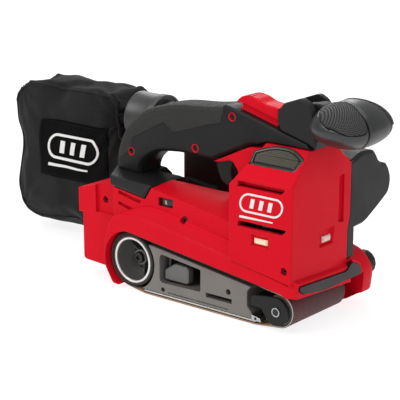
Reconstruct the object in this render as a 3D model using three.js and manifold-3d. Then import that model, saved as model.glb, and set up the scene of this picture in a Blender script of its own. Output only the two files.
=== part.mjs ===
// Cordless belt sander for 75 x 457 mm belts, built in millimetres.
// +X is the front of the tool, +Y its left side and +Z up. The origin lies on the sanding
// face: half way between the two drums, on the belt's centre line, at the belt's underside.
import * as THREE from 'three';
import { ConvexGeometry } from 'three/addons/geometries/ConvexGeometry.js';
import { mergeVertices } from 'three/addons/utils/BufferGeometryUtils.js';
import Module from 'manifold-3d';

const wasm = await Module();
wasm.setup();

// ---------------------------------------------------------------- driving dimensions
const GAP = 0.3;                 // clearance between pieces that touch
const BELT_WIDTH = 76.2;
const BELT_THICK = 1.2;
const HALF_BELT = BELT_WIDTH / 2;
const DRUM = { x: -82.7, z: 28.5, r: 24.3 };      // rear drive drum, radius over the tyre
const IDLER = { x: 82.7, z: 18.1, r: 13.9 };      // front idler drum
const AXLE = 3.9;                                 // radius of the idler's axle
const MOTOR = { x: 67, z: 94 };                   // motor axis, across the tool
const PLATEN = { x0: -69, x1: 59 };               // flat run of the belt

const SIDE = -46;                // near face of the motor tower
const WALL = -39;                // near face of the deck
const LIP = -44;                 // near face of the belt guard
const SPLIT = 37.3;              // joint between right shell and left shell
const LEFT_IN = 38.9;            // inner face of the left side plate
const LEFT_OUT = 43.7;           // outer face of the left shell
const COVER_OUT = 80;            // outer face of the drive cover
const NOSE = 104;                // front of the lower nose
const FRONT = 100;               // front face of the tower
const REAR = -153.7;             // rear of the dust block
const BAG_REAR = -323;           // rear end of the dust bag
const CREST = -10;               // the deck's crest, where it starts to fall away to the far side
const DECK_REAR = -103.5;        // rear end of the deck's near wall

const GRIP = 17;                 // half width of the main handle
const KNOB = { x: 124.4, z: 176, length: 29.9, width: 35.4, up: 21.9, down: 18.2, band: 9 };
const SPOUT = { y: 70, z: 132, r: 19 };           // dust spigot, its axis along X

const DIAL = { x: -41.5, y: -25.8, r: 12.8 };     // speed dial, its axis upright
const TRACKING = { x: 85, z: 30, r: 11.4 };       // axis of the belt tracking knob

const PULLEY = { y0: 46.5, y1: 57.5, rDrum: 19, rMotor: 9 };

// ---------------------------------------------------------------- colours
const RED = ['#d31a27', 0.38, 0];
const BLACK = ['#2b2c2d', 0.6, 0];
const RUBBER = ['#232425', 0.85, 0];
const CAST = ['#8b8681', 0.5, 0.5];
const STEEL = ['#b9bbbd', 0.3, 0.9];
const ALU = ['#d6d7d6', 0.35, 0.8];
const BRASS = ['#b98a4a', 0.35, 0.8];
const LENS = ['#fff3dc', 0.2, 0];
const CLOTH = ['#1d1d1e', 0.95, 0];
const ABRASIVE = ['#4f2b2c', 0.95, 0];
const BOARD = ['#1d5b33', 0.6, 0];
const GRAPHITE = ['#3a3b3d', 0.8, 0];

const sander = new THREE.Group();

// ---------------------------------------------------------------- geometry helpers
const toSolid = (geometry) => {
  let g = geometry.clone();
  for (const name of Object.keys(g.attributes)) if (name !== 'position') g.deleteAttribute(name);
  g = mergeVertices(g, 1e-4);
  const triVerts = Uint32Array.from(g.index.array);
  const vertProperties = g.attributes.position.array;
  return new wasm.Manifold(new wasm.Mesh({ numProp: 3, vertProperties, triVerts }));
};

const toGeometry = (solid) => {
  const mesh = solid.getMesh();
  const g = new THREE.BufferGeometry();
  g.setAttribute('position', new THREE.BufferAttribute(Float32Array.from(mesh.vertProperties), 3));
  g.setIndex(new THREE.BufferAttribute(Uint32Array.from(mesh.triVerts), 1));
  const flat = g.toNonIndexed();
  flat.computeVertexNormals();
  return flat;
};

const solidOf = (shape) => (shape.isBufferGeometry ? toSolid(shape) : shape);
const join = (...shapes) => shapes.map(solidOf).reduce((a, b) => a.add(b));
const cut = (base, ...tools) => tools.map(solidOf).reduce((a, b) => a.subtract(b), solidOf(base));
const common = (a, b) => solidOf(a).intersect(solidOf(b));

const add = (name, shape, [color, roughness, metalness]) => {
  const geometry = shape.isBufferGeometry ? shape : toGeometry(shape);
  const mesh = new THREE.Mesh(geometry, new THREE.MeshStandardMaterial({ color, roughness, metalness }));
  mesh.name = name;
  sander.add(mesh);
  return mesh;
};

const box = (x0, x1, y0, y1, z0, z1) =>
  new THREE.BoxGeometry(x1 - x0, y1 - y0, z1 - z0).translate((x0 + x1) / 2, (y0 + y1) / 2, (z0 + z1) / 2);

const hull = (points) => new ConvexGeometry(points.map((p) => new THREE.Vector3(...p)));

// Closed outline through points [u, v, fillet radius]; a missing radius is a sharp corner.
// A fillet takes up at most half of the shorter edge beside it, and a corner that is too tight
// for the bevel that follows it stays sharp.
const outline = (points, bevel) => {
  const shape = new THREE.Shape();
  points.forEach(([u, v, radius = 0], i) => {
    const here = new THREE.Vector2(u, v);
    const toBefore = new THREE.Vector2(...points[(i + points.length - 1) % points.length]).sub(here);
    const toAfter = new THREE.Vector2(...points[(i + 1) % points.length]).sub(here);
    const reach = Math.min(radius, toBefore.length() * 0.42, toAfter.length() * 0.42);
    const cosine = toBefore.normalize().dot(toAfter.normalize());
    const turn = Math.PI - Math.acos(THREE.MathUtils.clamp(cosine, -1, 1));
    const r = reach < 1.7 * bevel * Math.tan(turn / 2) ? 0 : reach;
    const start = here.clone().addScaledVector(toBefore, r);
    const end = here.clone().addScaledVector(toAfter, r);
    if (i === 0) shape.moveTo(start.x, start.y);
    else shape.lineTo(start.x, start.y);
    if (r > 0) shape.quadraticCurveTo(here.x, here.y, end.x, end.y);
  });
  return shape;
};

// An inset shrinks the outline all round; it needs a bevel to go with it. The outline is turned
// a little while its caps are cut into triangles, so that no three corners are exactly in line.
const SKEW = 0.37;
const extrude = (points, depth, { bevel = 0, steps = 2, curve = 5, inset = 0 }) => {
  const skewed = points.map(([u, v, r]) => [
    u * Math.cos(SKEW) - v * Math.sin(SKEW), u * Math.sin(SKEW) + v * Math.cos(SKEW), r,
  ]);
  const g = new THREE.ExtrudeGeometry(outline(skewed, bevel + inset), {
    depth: depth - 2 * bevel, curveSegments: curve, bevelEnabled: bevel > 0,
    bevelThickness: bevel, bevelSize: bevel, bevelOffset: -bevel - inset, bevelSegments: steps,
  });
  return g.rotateZ(-SKEW).translate(0, 0, bevel);
};

// Side-view outline (x, z) made thick from y0 to y1.
const slab = (points, y0, y1, options = {}) =>
  extrude(points, y1 - y0, options).rotateX(Math.PI / 2).translate(0, y1, 0);

// Front-view outline (y, z) made thick from x0 to x1.
const bar = (points, x0, x1, options = {}) =>
  extrude(points, x1 - x0, options).rotateX(Math.PI / 2).rotateZ(Math.PI / 2).translate(x0, 0, 0);

const disc = (x, z, r, y0, y1, sides = 32) =>
  new THREE.CylinderGeometry(r, r, y1 - y0, sides).translate(x, (y0 + y1) / 2, z);

const rod = (y, z, r, x0, x1, sides = 24) =>
  new THREE.CylinderGeometry(r, r, x1 - x0, sides).rotateZ(Math.PI / 2).translate((x0 + x1) / 2, y, z);

const post = (x, y, r, z0, z1, sides = 20) =>
  new THREE.CylinderGeometry(r, r, z1 - z0, sides).rotateX(Math.PI / 2).translate(x, y, (z0 + z1) / 2);

// Ring turned about an axis along Y; profile points are [radius, y].
const turned = (x, z, profile, sides = 48) => {
  const points = [...profile, profile[0]].map(([r, y]) => new THREE.Vector2(r, y));
  return new THREE.LatheGeometry(points, sides).translate(x, 0, z);
};

const ring = (x, z, rIn, rOut, y0, y1, sides = 40) =>
  turned(x, z, [[rIn, y0], [rOut, y0], [rOut, y1], [rIn, y1]], sides);

const circle = (x, z, r, count = 48) =>
  Array.from({ length: count }, (_, i) => {
    const a = (i / count) * 2 * Math.PI;
    return [x + r * Math.cos(a), z + r * Math.sin(a)];
  });

// Outline of a band pulled tight round a set of circles {x, z, r}.
const tautLoop = (circles, offset, count = 64) => {
  const points = circles.flatMap(({ x, z, r }) => circle(x, z, r + offset, count))
    .sort((a, b) => a[0] - b[0] || a[1] - b[1]);
  const side = (list) => {
    const chain = [];
    for (const p of list) {
      while (chain.length > 1) {
        const [a, b] = chain.slice(-2);
        if ((b[0] - a[0]) * (p[1] - a[1]) - (b[1] - a[1]) * (p[0] - a[0]) > 1e-6) break;
        chain.pop();
      }
      chain.push(p);
    }
    return chain.slice(0, -1);
  };
  return [...side(points), ...side([...points].reverse())];
};

const band = (circles, inner, outer, y0, y1, count) =>
  cut(slab(tautLoop(circles, outer, count), y0, y1), slab(tautLoop(circles, inner, count), y0 - 1, y1 + 1));

class Helix extends THREE.Curve {
  constructor(radius, length, turns) {
    super();
    Object.assign(this, { radius, length, turns });
  }
  getPoint(t, target = new THREE.Vector3()) {
    const a = 2 * Math.PI * this.turns * t;
    return target.set(this.length * t, this.radius * Math.cos(a), this.radius * Math.sin(a));
  }
}

const coil = (radius, wire, length, turns) =>
  new THREE.ExtrudeGeometry(new THREE.Shape().absarc(0, 0, wire / 2, 0, 2 * Math.PI), {
    steps: turns * 9, extrudePath: new Helix(radius, length, turns), curveSegments: 3, bevelEnabled: false,
  });

// ---------------------------------------------------------------- shared outlines
const slopeZ = (x, x0, z0, x1, z1) => z0 + ((x - x0) * (z1 - z0)) / (x1 - x0);
const neckTop = (x) => slopeZ(x, 26, 176, 91, 158.5);          // ridge of the handle's neck
const footTop = (x) => slopeZ(x, -108, 104.5, -60, 100.5);     // top of the handle's foot
const deckEdge = (x) => slopeZ(x, -58, 100.3, 31.5, 85.4);     // shoulder at the near wall
const deckTop = (x) => slopeZ(x, -58, 102.4, 31.5, 95.6);      // crest of the deck, at y = -10
const farSlope = (y) => 102.4 - 0.42 * (y + 10);               // the deck falls away beyond its crest

const beltCircles = [
  { x: DRUM.x, z: DRUM.z, r: DRUM.r },
  { x: IDLER.x, z: IDLER.z, r: IDLER.r },
  { x: PLATEN.x0 + 2, z: BELT_THICK + 2, r: 2 },
  { x: PLATEN.x1 - 2, z: BELT_THICK + 2, r: 2 },
];

const driveCircles = [
  { x: DRUM.x, z: DRUM.z, r: PULLEY.rDrum },
  { x: MOTOR.x, z: MOTOR.z, r: PULLEY.rMotor },
];

const driveTunnel = () => slab(tautLoop(driveCircles, 6, 40), LEFT_OUT - 2, PULLEY.y1 + 3);

// ---------------------------------------------------------------- right shell
const guardBody = () => {
  const lip = [
    [-113.5, 22, 6], [-102.5, 3.6, 3], [-88, 3.6], [-88, 30], [-70, 40], [86, 29.5], [97, 33.5, 4],
    [NOSE, 34, 2], [NOSE, 42, 2], [91, 45.5], [2, 62.3], [-76, 74, 20], [-100, 71, 18], [-111.5, 50, 14],
  ];
  const ridge = [
    [-108, 30], [-60, 30], [88, 36], [97, 46], [32.5, 70.8], [-27, 80.8], [-46, 84, 8], [-62, 85, 8],
    [-84, 77, 14], [-104, 66, 14],
  ];
  return join(slab(lip, LIP, SPLIT, { bevel: 1.2, steps: 1 }),
    slab(ridge, LIP + 1.4, SPLIT, { bevel: 3.4, steps: 2 }));
};

// What lies above the plane that the far side of the deck slopes down in.
const aboveFarSlope = () => hull([-170, 34.9].flatMap((x) => [
  [x, CREST, farSlope(CREST)], [x, 50, farSlope(50)], [x, 50, 150], [x, CREST, 150],
]));

const deckBody = () => {
  const shoulder = hull([-58, 40].flatMap((x) => [
    [x, WALL, 58], [x, WALL, deckEdge(x)], [x, CREST, deckTop(x)], [x, SPLIT, deckTop(x)], [x, SPLIT, 58],
  ]));
  const rear = slab([[DECK_REAR, 60], [-57, 60], [-57, 96], [-64, 88.7], [DECK_REAR, 94]], WALL, SPLIT);
  const backWall = slab([
    [-58, 60], [-40, 60], [-40, 96], [-58, deckEdge(-58)], [-65, 89.5],
  ], WALL, SPLIT);
  return join(shoulder, rear, backWall);
};

const dustBlock = () => {
  const tall = [[REAR, 61], [REAR, 83.8, 1.5], [-114, 95], [-100, 93], [-100, 61]];
  const low = [[-148.5, 15.5, 4], [-112, 13.5], [-100, 40], [-104, 64], [-148.5, 64]];
  return join(slab(tall, -33, SPLIT, { bevel: 0.8, steps: 1 }),
    slab(low, -33, SPLIT, { bevel: 0.8, steps: 1 }));
};

// Front of the belt guard; its upper edge falls a little towards the far side.
const noseBody = () => hull([
  [96, LIP, 33.4], [96, LIP, 50], [101, -43, 48.8], [NOSE, -42, 46.4], [NOSE, -42, 34],
  [96, SPLIT, 28.6], [96, SPLIT, 46], [101, SPLIT, 44.4], [NOSE, SPLIT, 43], [NOSE, SPLIT, 28.6],
]);

const towerBody = () => hull([
  [35, SIDE, 56], [35, SIDE, 122], [41.5, SIDE, 129], [FRONT - 1, SIDE, 129], [FRONT, SIDE + 1, 128],
  [FRONT - 1, SIDE, 46], [FRONT, SIDE + 1, 45],
  [44, -33, 137.5], [97.5, -33, 137.5], [52, -18, 154], [97, -18, 154], [52, 18, 154], [97, 18, 154],
  [44, SPLIT, 138], [97.5, SPLIT, 138], [FRONT, -30, 132], [FRONT, SPLIT, 134],
  [35, SPLIT, 56], [35, SPLIT, 124], [FRONT, SPLIT, 45],
]);

const hookBody = () => slab([
  [-6, 128.9, 1], [32, 147.2], [60, 150], [60, 100], [34, 96], [24, 112], [20.5, 126, 4], [14, 133.4, 5],
  [3, 130, 3],
], -GRIP, GRIP, { bevel: 1, steps: 1 });

const rightCavities = () => [
  slab(tautLoop([{ ...DRUM, r: 28 }, { ...IDLER, r: 18 }], 0, 48), -60, 60),
  box(-70, 120, -60, 60, -5, 20),
  box(39.5, 95.5, SIDE + 4.5, 50, 60, 122),
  hull([-110, 41].flatMap((x) => [
    [x, -34.5, 70.5], [x, -34.5, 84], [x, 8, 84], [x, 38, 72.5], [x, 38, 70.5],
  ])),
  box(-57, -26, -36, -9, 80, 94.4),
  box(-148, -118, -24, 50, 24, 70),
  box(-125, -104, -24, 50, 60, 80),
];

// Depth of the air slots in the tower's side; it is more than the wall behind them.
const VENT = 6;
const vents = () => [
  ...[[43, 92.4, 124], [43.6, 93.8, 89.7]].map(([x0, x1, z]) => {
    const slot = [[x0, z - 2.6], [x1 - 4, z - 2.6], [x1, z + 1], [x1, z + 2.6], [x0 + 1, z + 2.6]];
    return slab(slot, SIDE - 1, SIDE + VENT);
  }),
  ...[[-97.8, 92.2, -69.4, 87.2], [-98, 82, -80.3, 78.7]].map(([x0, z0, x1, z1]) =>
    slab([[x0, z0 - 3.6], [x1 - 3, z1 - 3.6], [x1, z1 - 0.6], [x0, z0]], WALL - 1, WALL + 3.6)),
];

const nearScrews = [
  { name: 'screw_deck', x: -19.3, z: 78.5, y: LIP + 5 },
  { name: 'screw_nose', x: 92.5, z: 56.8, y: SIDE + 2 },
  { name: 'screw_rear', x: -121.7, z: 76.6, y: -33 + 4.6 },
];

// Rubber strip along the nose; the far end of its upper edge steps up.
const bumperShape = (grow) => [
  [-40 - grow, 40.6 - grow], [-39.6 - grow, 44.2 + grow], [27.6, 40.5 + grow], [30.5, 41.8 + grow],
  [35.5, 46 + grow], [38, 46.3 + grow], [49.6 + grow, 40.8 + grow], [51 + grow, 36.5],
  [50.8 + grow, 33 - grow],
  [-5, 32.7 - grow], [-34, 36.8 - grow],
];

// Upright strip of the battery dock that forms the tower's far front edge.
const EDGE_STRIP = 94;
const STRIP_TOP = 134;
const edgeStripShape = (grow) => [
  [36 - grow, 48.4 - grow], [47 + grow, 48.4 - grow], [47 + grow, STRIP_TOP + 20 * grow],
  [39.4 - grow, STRIP_TOP + 20 * grow],
  [39.4 - grow, 88], [36 - grow, 75],
];

const shellRecesses = () => [
  box(-50, -33, WALL - 1, WALL + 6, 86, 94),                        // speed dial window
  box(-131.7, -102, -34, -30, 64, 100),                             // hollow beside the arch
  hull([[58, SIDE - 1, 84], [77, SIDE - 1, 84], [58, SIDE - 1, 72], [77, SIDE - 1, 72],
    [59, SIDE + 2.8, 80.5], [76, SIDE + 2.8, 80.5], [59, SIDE + 2.8, 74], [76, SIDE + 2.8, 74]]),
  hull([[FRONT + 1, -10, 86], [FRONT + 1, 17, 86], [FRONT + 1, -6, 68], [FRONT + 1, 14, 68],
    [FRONT - 3, -6, 80], [FRONT - 3, 14, 80], [FRONT - 3, -4, 70], [FRONT - 3, 13, 70]]),
  bar([[21, 85.4], [29.5, 84], [29.5, 127, 1], [21, 126, 1]], FRONT - 3, FRONT + 2),
  bar(bumperShape(GAP), NOSE - 3.2, NOSE + 2),
  bar(edgeStripShape(GAP), EDGE_STRIP - GAP, FRONT + 1),
  ...nearScrews.map(({ x, z, y }) => disc(x, z, 3.4, y - 10, y + 3.4, 20)),
];

const padShape = (grow) => [
  [-21 - grow, -0.6 - grow, 2], [25.8 + grow, -0.6 - grow, 2], [29.2 + grow, 12.6 + grow, 2],
  [15, 21 + grow, 10], [-5, 21.2 + grow, 10], [-22.8 - grow, 13 + grow, 3],
];

// Textured finger pad on the sloping shoulder of the tower; side is -1 (right) or 1 (left).
const shoulderPad = (side, grow, height) => {
  const tilt = Math.atan2(16.5, 15);
  const g = extrude(padShape(grow), height, {}).translate(0, 0, -height / 2);
  g.rotateX(tilt).translate(67, -32.6, 138);
  return side < 0 ? g : g.scale(1, -1, 1);
};

const flip = (geometry) => {
  const g = geometry.index ? geometry.toNonIndexed() : geometry.clone();
  const p = g.attributes.position;
  for (let i = 0; i < p.count; i += 3) {
    const [x, y, z] = [p.getX(i + 1), p.getY(i + 1), p.getZ(i + 1)];
    p.setXYZ(i + 1, p.getX(i + 2), p.getY(i + 2), p.getZ(i + 2));
    p.setXYZ(i + 2, x, y, z);
  }
  return g;
};

const padSolid = (side, grow, height) => {
  const g = shoulderPad(side, grow, height);
  return side < 0 ? g : flip(g);
};

const rightShell = () => cut(
  join(guardBody(), noseBody(), cut(join(deckBody(), dustBlock()), aboveFarSlope()), towerBody(), hookBody()),
  ...rightCavities(), ...vents(), ...shellRecesses(),
  padSolid(-1, GAP, 5), padSolid(1, GAP, 5),
  box(-14, 22, -9, 9, 100, 150),                                    // slot for the trigger
);

// ---------------------------------------------------------------- left shell
const leftNose = (grow) => bar([
  [LEFT_IN, 31.5 - grow], [LEFT_IN, 47.8 + grow], [41, 47.8 + grow], [51.6 + grow, 42.4 + grow],
  [52.6 + grow, 36], [52.2 + grow, 31.5 - grow],
], 85 - grow, NOSE);

const leftShell = () => {
  const deck = slab([
    [-112, 58], [40, 58], [40, deckTop(40)], [-58, deckTop(-58)], [-65.5, 89], [-106, 94.3], [-112, 94.5],
  ], SPLIT + GAP, LEFT_OUT);
  const tower = hull([SPLIT + GAP, LEFT_OUT].flatMap((y) =>
    [[35, y, 56], [35, y, 124], [44, y, 137.5], [97, y, 137.5], [FRONT, y, 134], [FRONT, y, 45]]));
  const chute = slab([[-148.5, 15.5, 4], [-112, 13.5], [-104, 64], [-104, 90], [REAR + 3, 83]],
    SPLIT + GAP, LEFT_OUT);
  const lower = slab([
    [-112, 24, 6], [-100, 4.5, 4], [94, 4.5, 8], [NOSE, 29.5, 4], [NOSE, 42], [FRONT, 46], [90, 70],
    [-108, 70],
  ], LEFT_IN, LEFT_OUT);
  return cut(join(cut(join(deck, chute), aboveFarSlope()), tower, lower, leftNose(0)),
    bar(bumperShape(GAP), NOSE - 3.2, NOSE + 2),
    bar(edgeStripShape(GAP), EDGE_STRIP - GAP, FRONT + 1),
    disc(DRUM.x, DRUM.z, 11.3, 30, 60, 28),                          // drum bearing seat
    disc(MOTOR.x, MOTOR.z, 8.3, 30, 60, 28),                         // motor bearing seat
    slab([[38, 10, 2], [60, 10], [62, -2], [110, -2], [110, 33], [38, 33, 3]], 30, 60),
    box(84, 108, 44, 61, 5, 31.2));
};

const driveCover = () => {
  const low = [
    [-116, 28, 24], [-106, 4.5, 18], [84, 4.5, 14], [101, 12, 16], [103.5, 32, 14], [92, 47, 14],
    [52, 58, 20], [-60, 64, 20], [-104, 60, 24],
  ];
  const lowInside = [
    [-111, 28, 20], [-102, 8.5, 15], [60, 8.5, 8], [56, 52, 8], [-58, 59, 8], [-100, 55, 18],
  ];
  const high = [[-66, 50], [34, 50], [34, 92], [20, 92, 4], [-60, 62, 4]];
  const body = join(slab(low, LEFT_OUT - 12, COVER_OUT, { bevel: 9, steps: 3 }),
    slab(high, LEFT_OUT - 12, PULLEY.y1 + 5.5, { bevel: 1.5, steps: 1 }));
  return cut(common(body, box(-200, 200, LEFT_OUT + GAP, 200, -20, 200)),
    slab(lowInside, LEFT_OUT - 1, COVER_OUT - 4.5), driveTunnel(),
    slab([[54, 9, 3], [91, 9, 6], [110, 12, 1], [110, 31.5, 3], [54, 31.5, 3]], LEFT_OUT - 1, 60),
    disc(TRACKING.x, TRACKING.z, 4.2, 50, 90, 20), leftNose(GAP), bar(bumperShape(GAP), 90, NOSE + 2));
};

// ---------------------------------------------------------------- battery dock
const dockShape = (inset) => [
  [LEFT_OUT + GAP, 73 + inset, 2], [66, 74 + inset, 4], [88 - inset, 85 + inset, 4],
  [104 - inset, 94 + inset, 6], [107 - inset, 108, 6], [101 - inset, 121 - inset, 4], [88, 125 - inset, 4],
  [79, 138 - inset, 6], [58, 139.5 - inset, 4], [LEFT_OUT + GAP, 135 - inset, 3],
];

const batteryDock = () => {
  const body = bar(dockShape(0), 34.3, FRONT - 1, { bevel: 3, steps: 1 });
  const strip = bar(edgeStripShape(0), EDGE_STRIP, FRONT - 0.2, { bevel: 1.2, steps: 1 });
  return cut(join(body, strip),
    driveTunnel(),
    disc(MOTOR.x, MOTOR.z, 17, LEFT_OUT - 2, PULLEY.y1 + 3, 32),
    box(20, 88, 62, 98, 94, 118),                                   // battery bay, open to the rear
    box(20, 86, 66, 120, 98, 114));
};

const terminalBlock = () => join(box(78, 87.5, 66, 86, 100, 112),
  ...[102, 105.2, 108.4].map((z) => box(64, 79, 70, 82, z, z + 1)));

// ---------------------------------------------------------------- handle
const handleBar = [
  [-121.5, 84], [-121.5, 118, 14], [-113, 141, 20], [-90, 163, 24], [-55, 173.4, 20], [-16, 176, 12],
  [5, 179.4, 5], [11, 178.6, 3], [44, neckTop(44) - 1], [44, 150.6], [31.5, 147.6], [-8, 129.2],
  [-45, 130, 14], [-72, 127, 14], [-91.5, 113, 14], [-91.5, 84],
];

const handleNeck = [
  [2, 170], [2, 178.2], [6.5, 180.2], [11, 179.9], [14, neckTop(14) - 0.2], [91, neckTop(91)],
  [96.5, 154.6], [51, 154.4], [40, 151],
];

// Everything below this zig-zag line and outside the core is hard plastic; above it is soft grip.
const gripZone = (drop) => [
  [-140, 100], [-104, 122 - drop], [-100, 136 - drop], [-62, 156 - drop], [-50, 148 - drop],
  [-14, 160 - drop],
  [2 + drop, 164 - drop], [10 + drop, 200], [-60, 220], [-140, 200],
];

const handleBody = () => cut(join(slab(handleBar, -GRIP, GRIP, { bevel: 7, steps: 3, curve: 4 }),
  slab(handleNeck, -GRIP + 0.6, GRIP - 0.6, { bevel: 1.4, steps: 1 })),
  slab([[-130, 70], [-85, 70], [-85, footTop(-85) + 1], [-130, footTop(-130) + 1]], -40, 40));

const handleCore = (inset, bevel) =>
  slab(handleBar, -GRIP + inset, GRIP - inset, { bevel, steps: 1, curve: 2, inset });

const gripRubber = () => cut(common(handleBody(), slab(gripZone(0), -30, 30)), handleCore(2.6, 5),
  box(-125, -100, -40, 40, 90, 112));

const handleScrews = [
  { name: 'screw_handle_rear', x: -100.9, z: 123.1 },
  { name: 'screw_handle_front', x: 14.8, z: 171.2 },
  { name: 'screw_handle_low', x: -26, z: 137.5 },
];

const handleHalf = (side) => {
  const [y0, y1] = side < 0 ? [-40, -GAP / 2] : [GAP / 2, 40];
  const half = box(-200, 200, y0, y1, 60, 260);
  const gripRoom = cut(slab(gripZone(GAP), -30, 30), handleCore(2.6 + GAP, 5),
    box(-125, -100, -40, 40, 90, 112 - GAP));
  const screws = side < 0 ? handleScrews.map(({ x, z }) => disc(x, z, 3.9, -30, -GRIP + 3, 20)) : [];
  const triggerSlot = box(-14, 22, -8.7, 8.7, 120, 146);
  return cut(common(handleBody(), half), gripRoom, handleCore(5.6, 1), triggerSlot, ...screws);
};

// The foot straddles the deck: its near rear corner is cut off, and it slopes away beyond the bar.
const handleFoot = () => {
  const pad = slab([
    [-122, 97.6], [-106, 95], [-65.6, 89.6], [-58.8, 101.2], [-62.5, 102.6], [-80, footTop(-80) + 0.6],
    [-122, footTop(-122), 3],
  ], WALL - 1.4, 26, { bevel: 2.6, steps: 2 });
  const corner = hull([70, 130].flatMap((z) => [
    [-105.5, WALL - 1.5, z], [-121.6, -14, z], [-140, -14, z], [-140, -60, z], [-105.5, -60, z],
  ]));
  const farRear = hull([-130, -89].flatMap((x) => [
    [x, GRIP, 104], [x, GRIP, 130], [x, 40, 130], [x, 40, 84],
  ]));
  const farFront = hull([-89, -40].flatMap((x) => [
    [x, 3, 103.4], [x, 3, 130], [x, 40, 130], [x, 40, 80],
  ]));
  return cut(pad, corner, farRear, farFront, box(-89, -40, 14, 60, 80, 120));
};

// ---------------------------------------------------------------- controls
const trigger = () => slab([
  [-11, 138, 2], [9, 138, 2], [10, 132], [6, 120, 8], [9, 109, 2], [3, 105.5, 3], [-5, 110, 6], [-10, 122, 8],
], -7.6, 7.6, { bevel: 1.8, steps: 2 });

const lockSlider = () => {
  const low = (x) => neckTop(x) + GAP;
  const [rear, front, waist] = [19.2, 58.4, 4.6];
  const rail = (y, from, to) => slab([
    [rear, low(rear) + from], [rear, low(rear) + to], [front, low(front) + to], [front, low(front) + from],
  ], -y, y);
  const crown = slab([
    [rear, low(rear) + waist], [12.6, 182.8], [17.5, 187.8, 3], [23, 189.9, 3], [29, 190, 4], [36, 188.4, 4],
    [42, 185.4, 4], [50, 184.2], [front, 183.2], [front, low(front) + waist],
  ], -9.8, 9.8, { bevel: 1.4, steps: 2 });
  const thumbGrooves = [18.5, 22, 25.5, 29].map((x) => box(x, x + 1.1, -12, 12, 188.7, 195));
  return cut(join(rail(10.4, 0, 1.6), rail(7.6, 1, waist + 2), crown), ...thumbGrooves);
};

// ---------------------------------------------------------------- front handle
const mountBody = () => {
  const block = slab([
    [60.9, 172], [61, 181, 2], [66.9, 189.7, 3], [85, 196.4, 3], [92.5, 192.5, 2], [97.8, 186, 2],
    [101, 161.5, 1],
    [99.6, 155], [91.3, neckTop(91.3) + GAP], [65, neckTop(65) + GAP],
  ], -16, 16, { bevel: 1.8, steps: 1 });
  return cut(block, box(74, 130, -9.4, 9.4, 168.5, 220), disc(89, 182, 4.3, -14.3, 14.3, 24));
};

// Palm grip: a rounded, slightly squared form that is fuller above its middle than below.
const power = (v, p) => Math.sign(v) * Math.abs(v) ** p;

const knobBody = (grow) => {
  const g = new THREE.SphereGeometry(1, 36, 20).rotateX(Math.PI / 2);
  const p = g.attributes.position;
  for (let i = 0; i < p.count; i += 1) {
    const [x, y, z] = [p.getX(i), p.getY(i), p.getZ(i)];
    const flat = Math.hypot(x, y) || 1;
    const reach = power(flat, 1.075);
    const height = (z > 0 ? KNOB.up : KNOB.down) + grow;
    p.setXYZ(i, KNOB.x + (KNOB.length + grow) * reach * power(x / flat, 0.81),
      (KNOB.width + grow) * reach * power(y / flat, 0.81), KNOB.z + height * power(z, 1.075));
  }
  return g;
};

const padZone = (side, gap) => {
  const [near, far] = [KNOB.band - gap, 70].map((y) => side * y);
  return box(104 - gap, 170, Math.min(near, far), Math.max(near, far), KNOB.z - 4 - gap, 240);
};

const knobPad = (side) => cut(common(knobBody(0.4), padZone(side, 0)), knobBody(-2));

const frontKnob = () => cut(knobBody(0),
  ...[-1, 1].map((side) => cut(padZone(side, GAP), knobBody(-2 - GAP))),
  box(60, 101.8, -17, 17, 140, 220), box(60, 116, -7.6, 7.6, 162, 220));

const frontArm = () => {
  const side = [[80, 175, 5], [100, 170.5, 3], [115.5, 166, 2], [115.5, 187, 4], [98, 192.5, 5],
    [80, 189.5, 6]];
  return cut(slab(side, -7.3, 7.3, { bevel: 1, steps: 1 }), disc(89, 182, 4.3, -30, 30, 24));
};

// ---------------------------------------------------------------- belt drive
const drumBody = () => {
  const r = 21.4;
  const profile = [[5, -27], [7.4, -27], [7.4, -11], [r - 2.2, -8], [r - 2.2, -36], [r - 1, -HALF_BELT + 0.2],
    [r, -HALF_BELT + 0.2], [r, HALF_BELT - 0.4], [r - 3, HALF_BELT - 0.4], [r - 3, 20], [9, 16],
    [9, 34], [5, 34]];
  const cup = turned(DRUM.x, DRUM.z, profile, 40);
  const ribs = [0, 1, 2].map((i) => {
    const rib = new THREE.BoxGeometry(13, 14, 1.6).translate(13.4, -15, 0);
    return rib.rotateY((i * 2 * Math.PI) / 3 + 0.5).translate(DRUM.x, 0, DRUM.z);
  });
  return join(cup, ...ribs);
};

const idlerBody = () => {
  const r = IDLER.r - 1.5 * GAP;
  const bore = AXLE + GAP;
  const half = [[bore, 34], [9.2, 34], [9.2, 36.6], [r - 1, 36.6], [r, 35.6]];
  const other = half.map(([radius, y]) => [radius, -y]);
  return turned(IDLER.x, IDLER.z, [...other, ...half.reverse()], 32);
};

const toothedPulley = (x, z, r, bore, y0, y1, teeth) => {
  const wheel = ring(x, z, bore, r, y0, y1, 24);
  const gaps = Array.from({ length: teeth }, (_, i) => {
    const a = (i * 2 * Math.PI) / teeth;
    return new THREE.BoxGeometry(1.4, y1 - y0 + 2, 1.1).translate(r, 0, 0).rotateY(a)
      .translate(x, (y0 + y1) / 2, z);
  });
  return cut(wheel, ...gaps);
};

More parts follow.
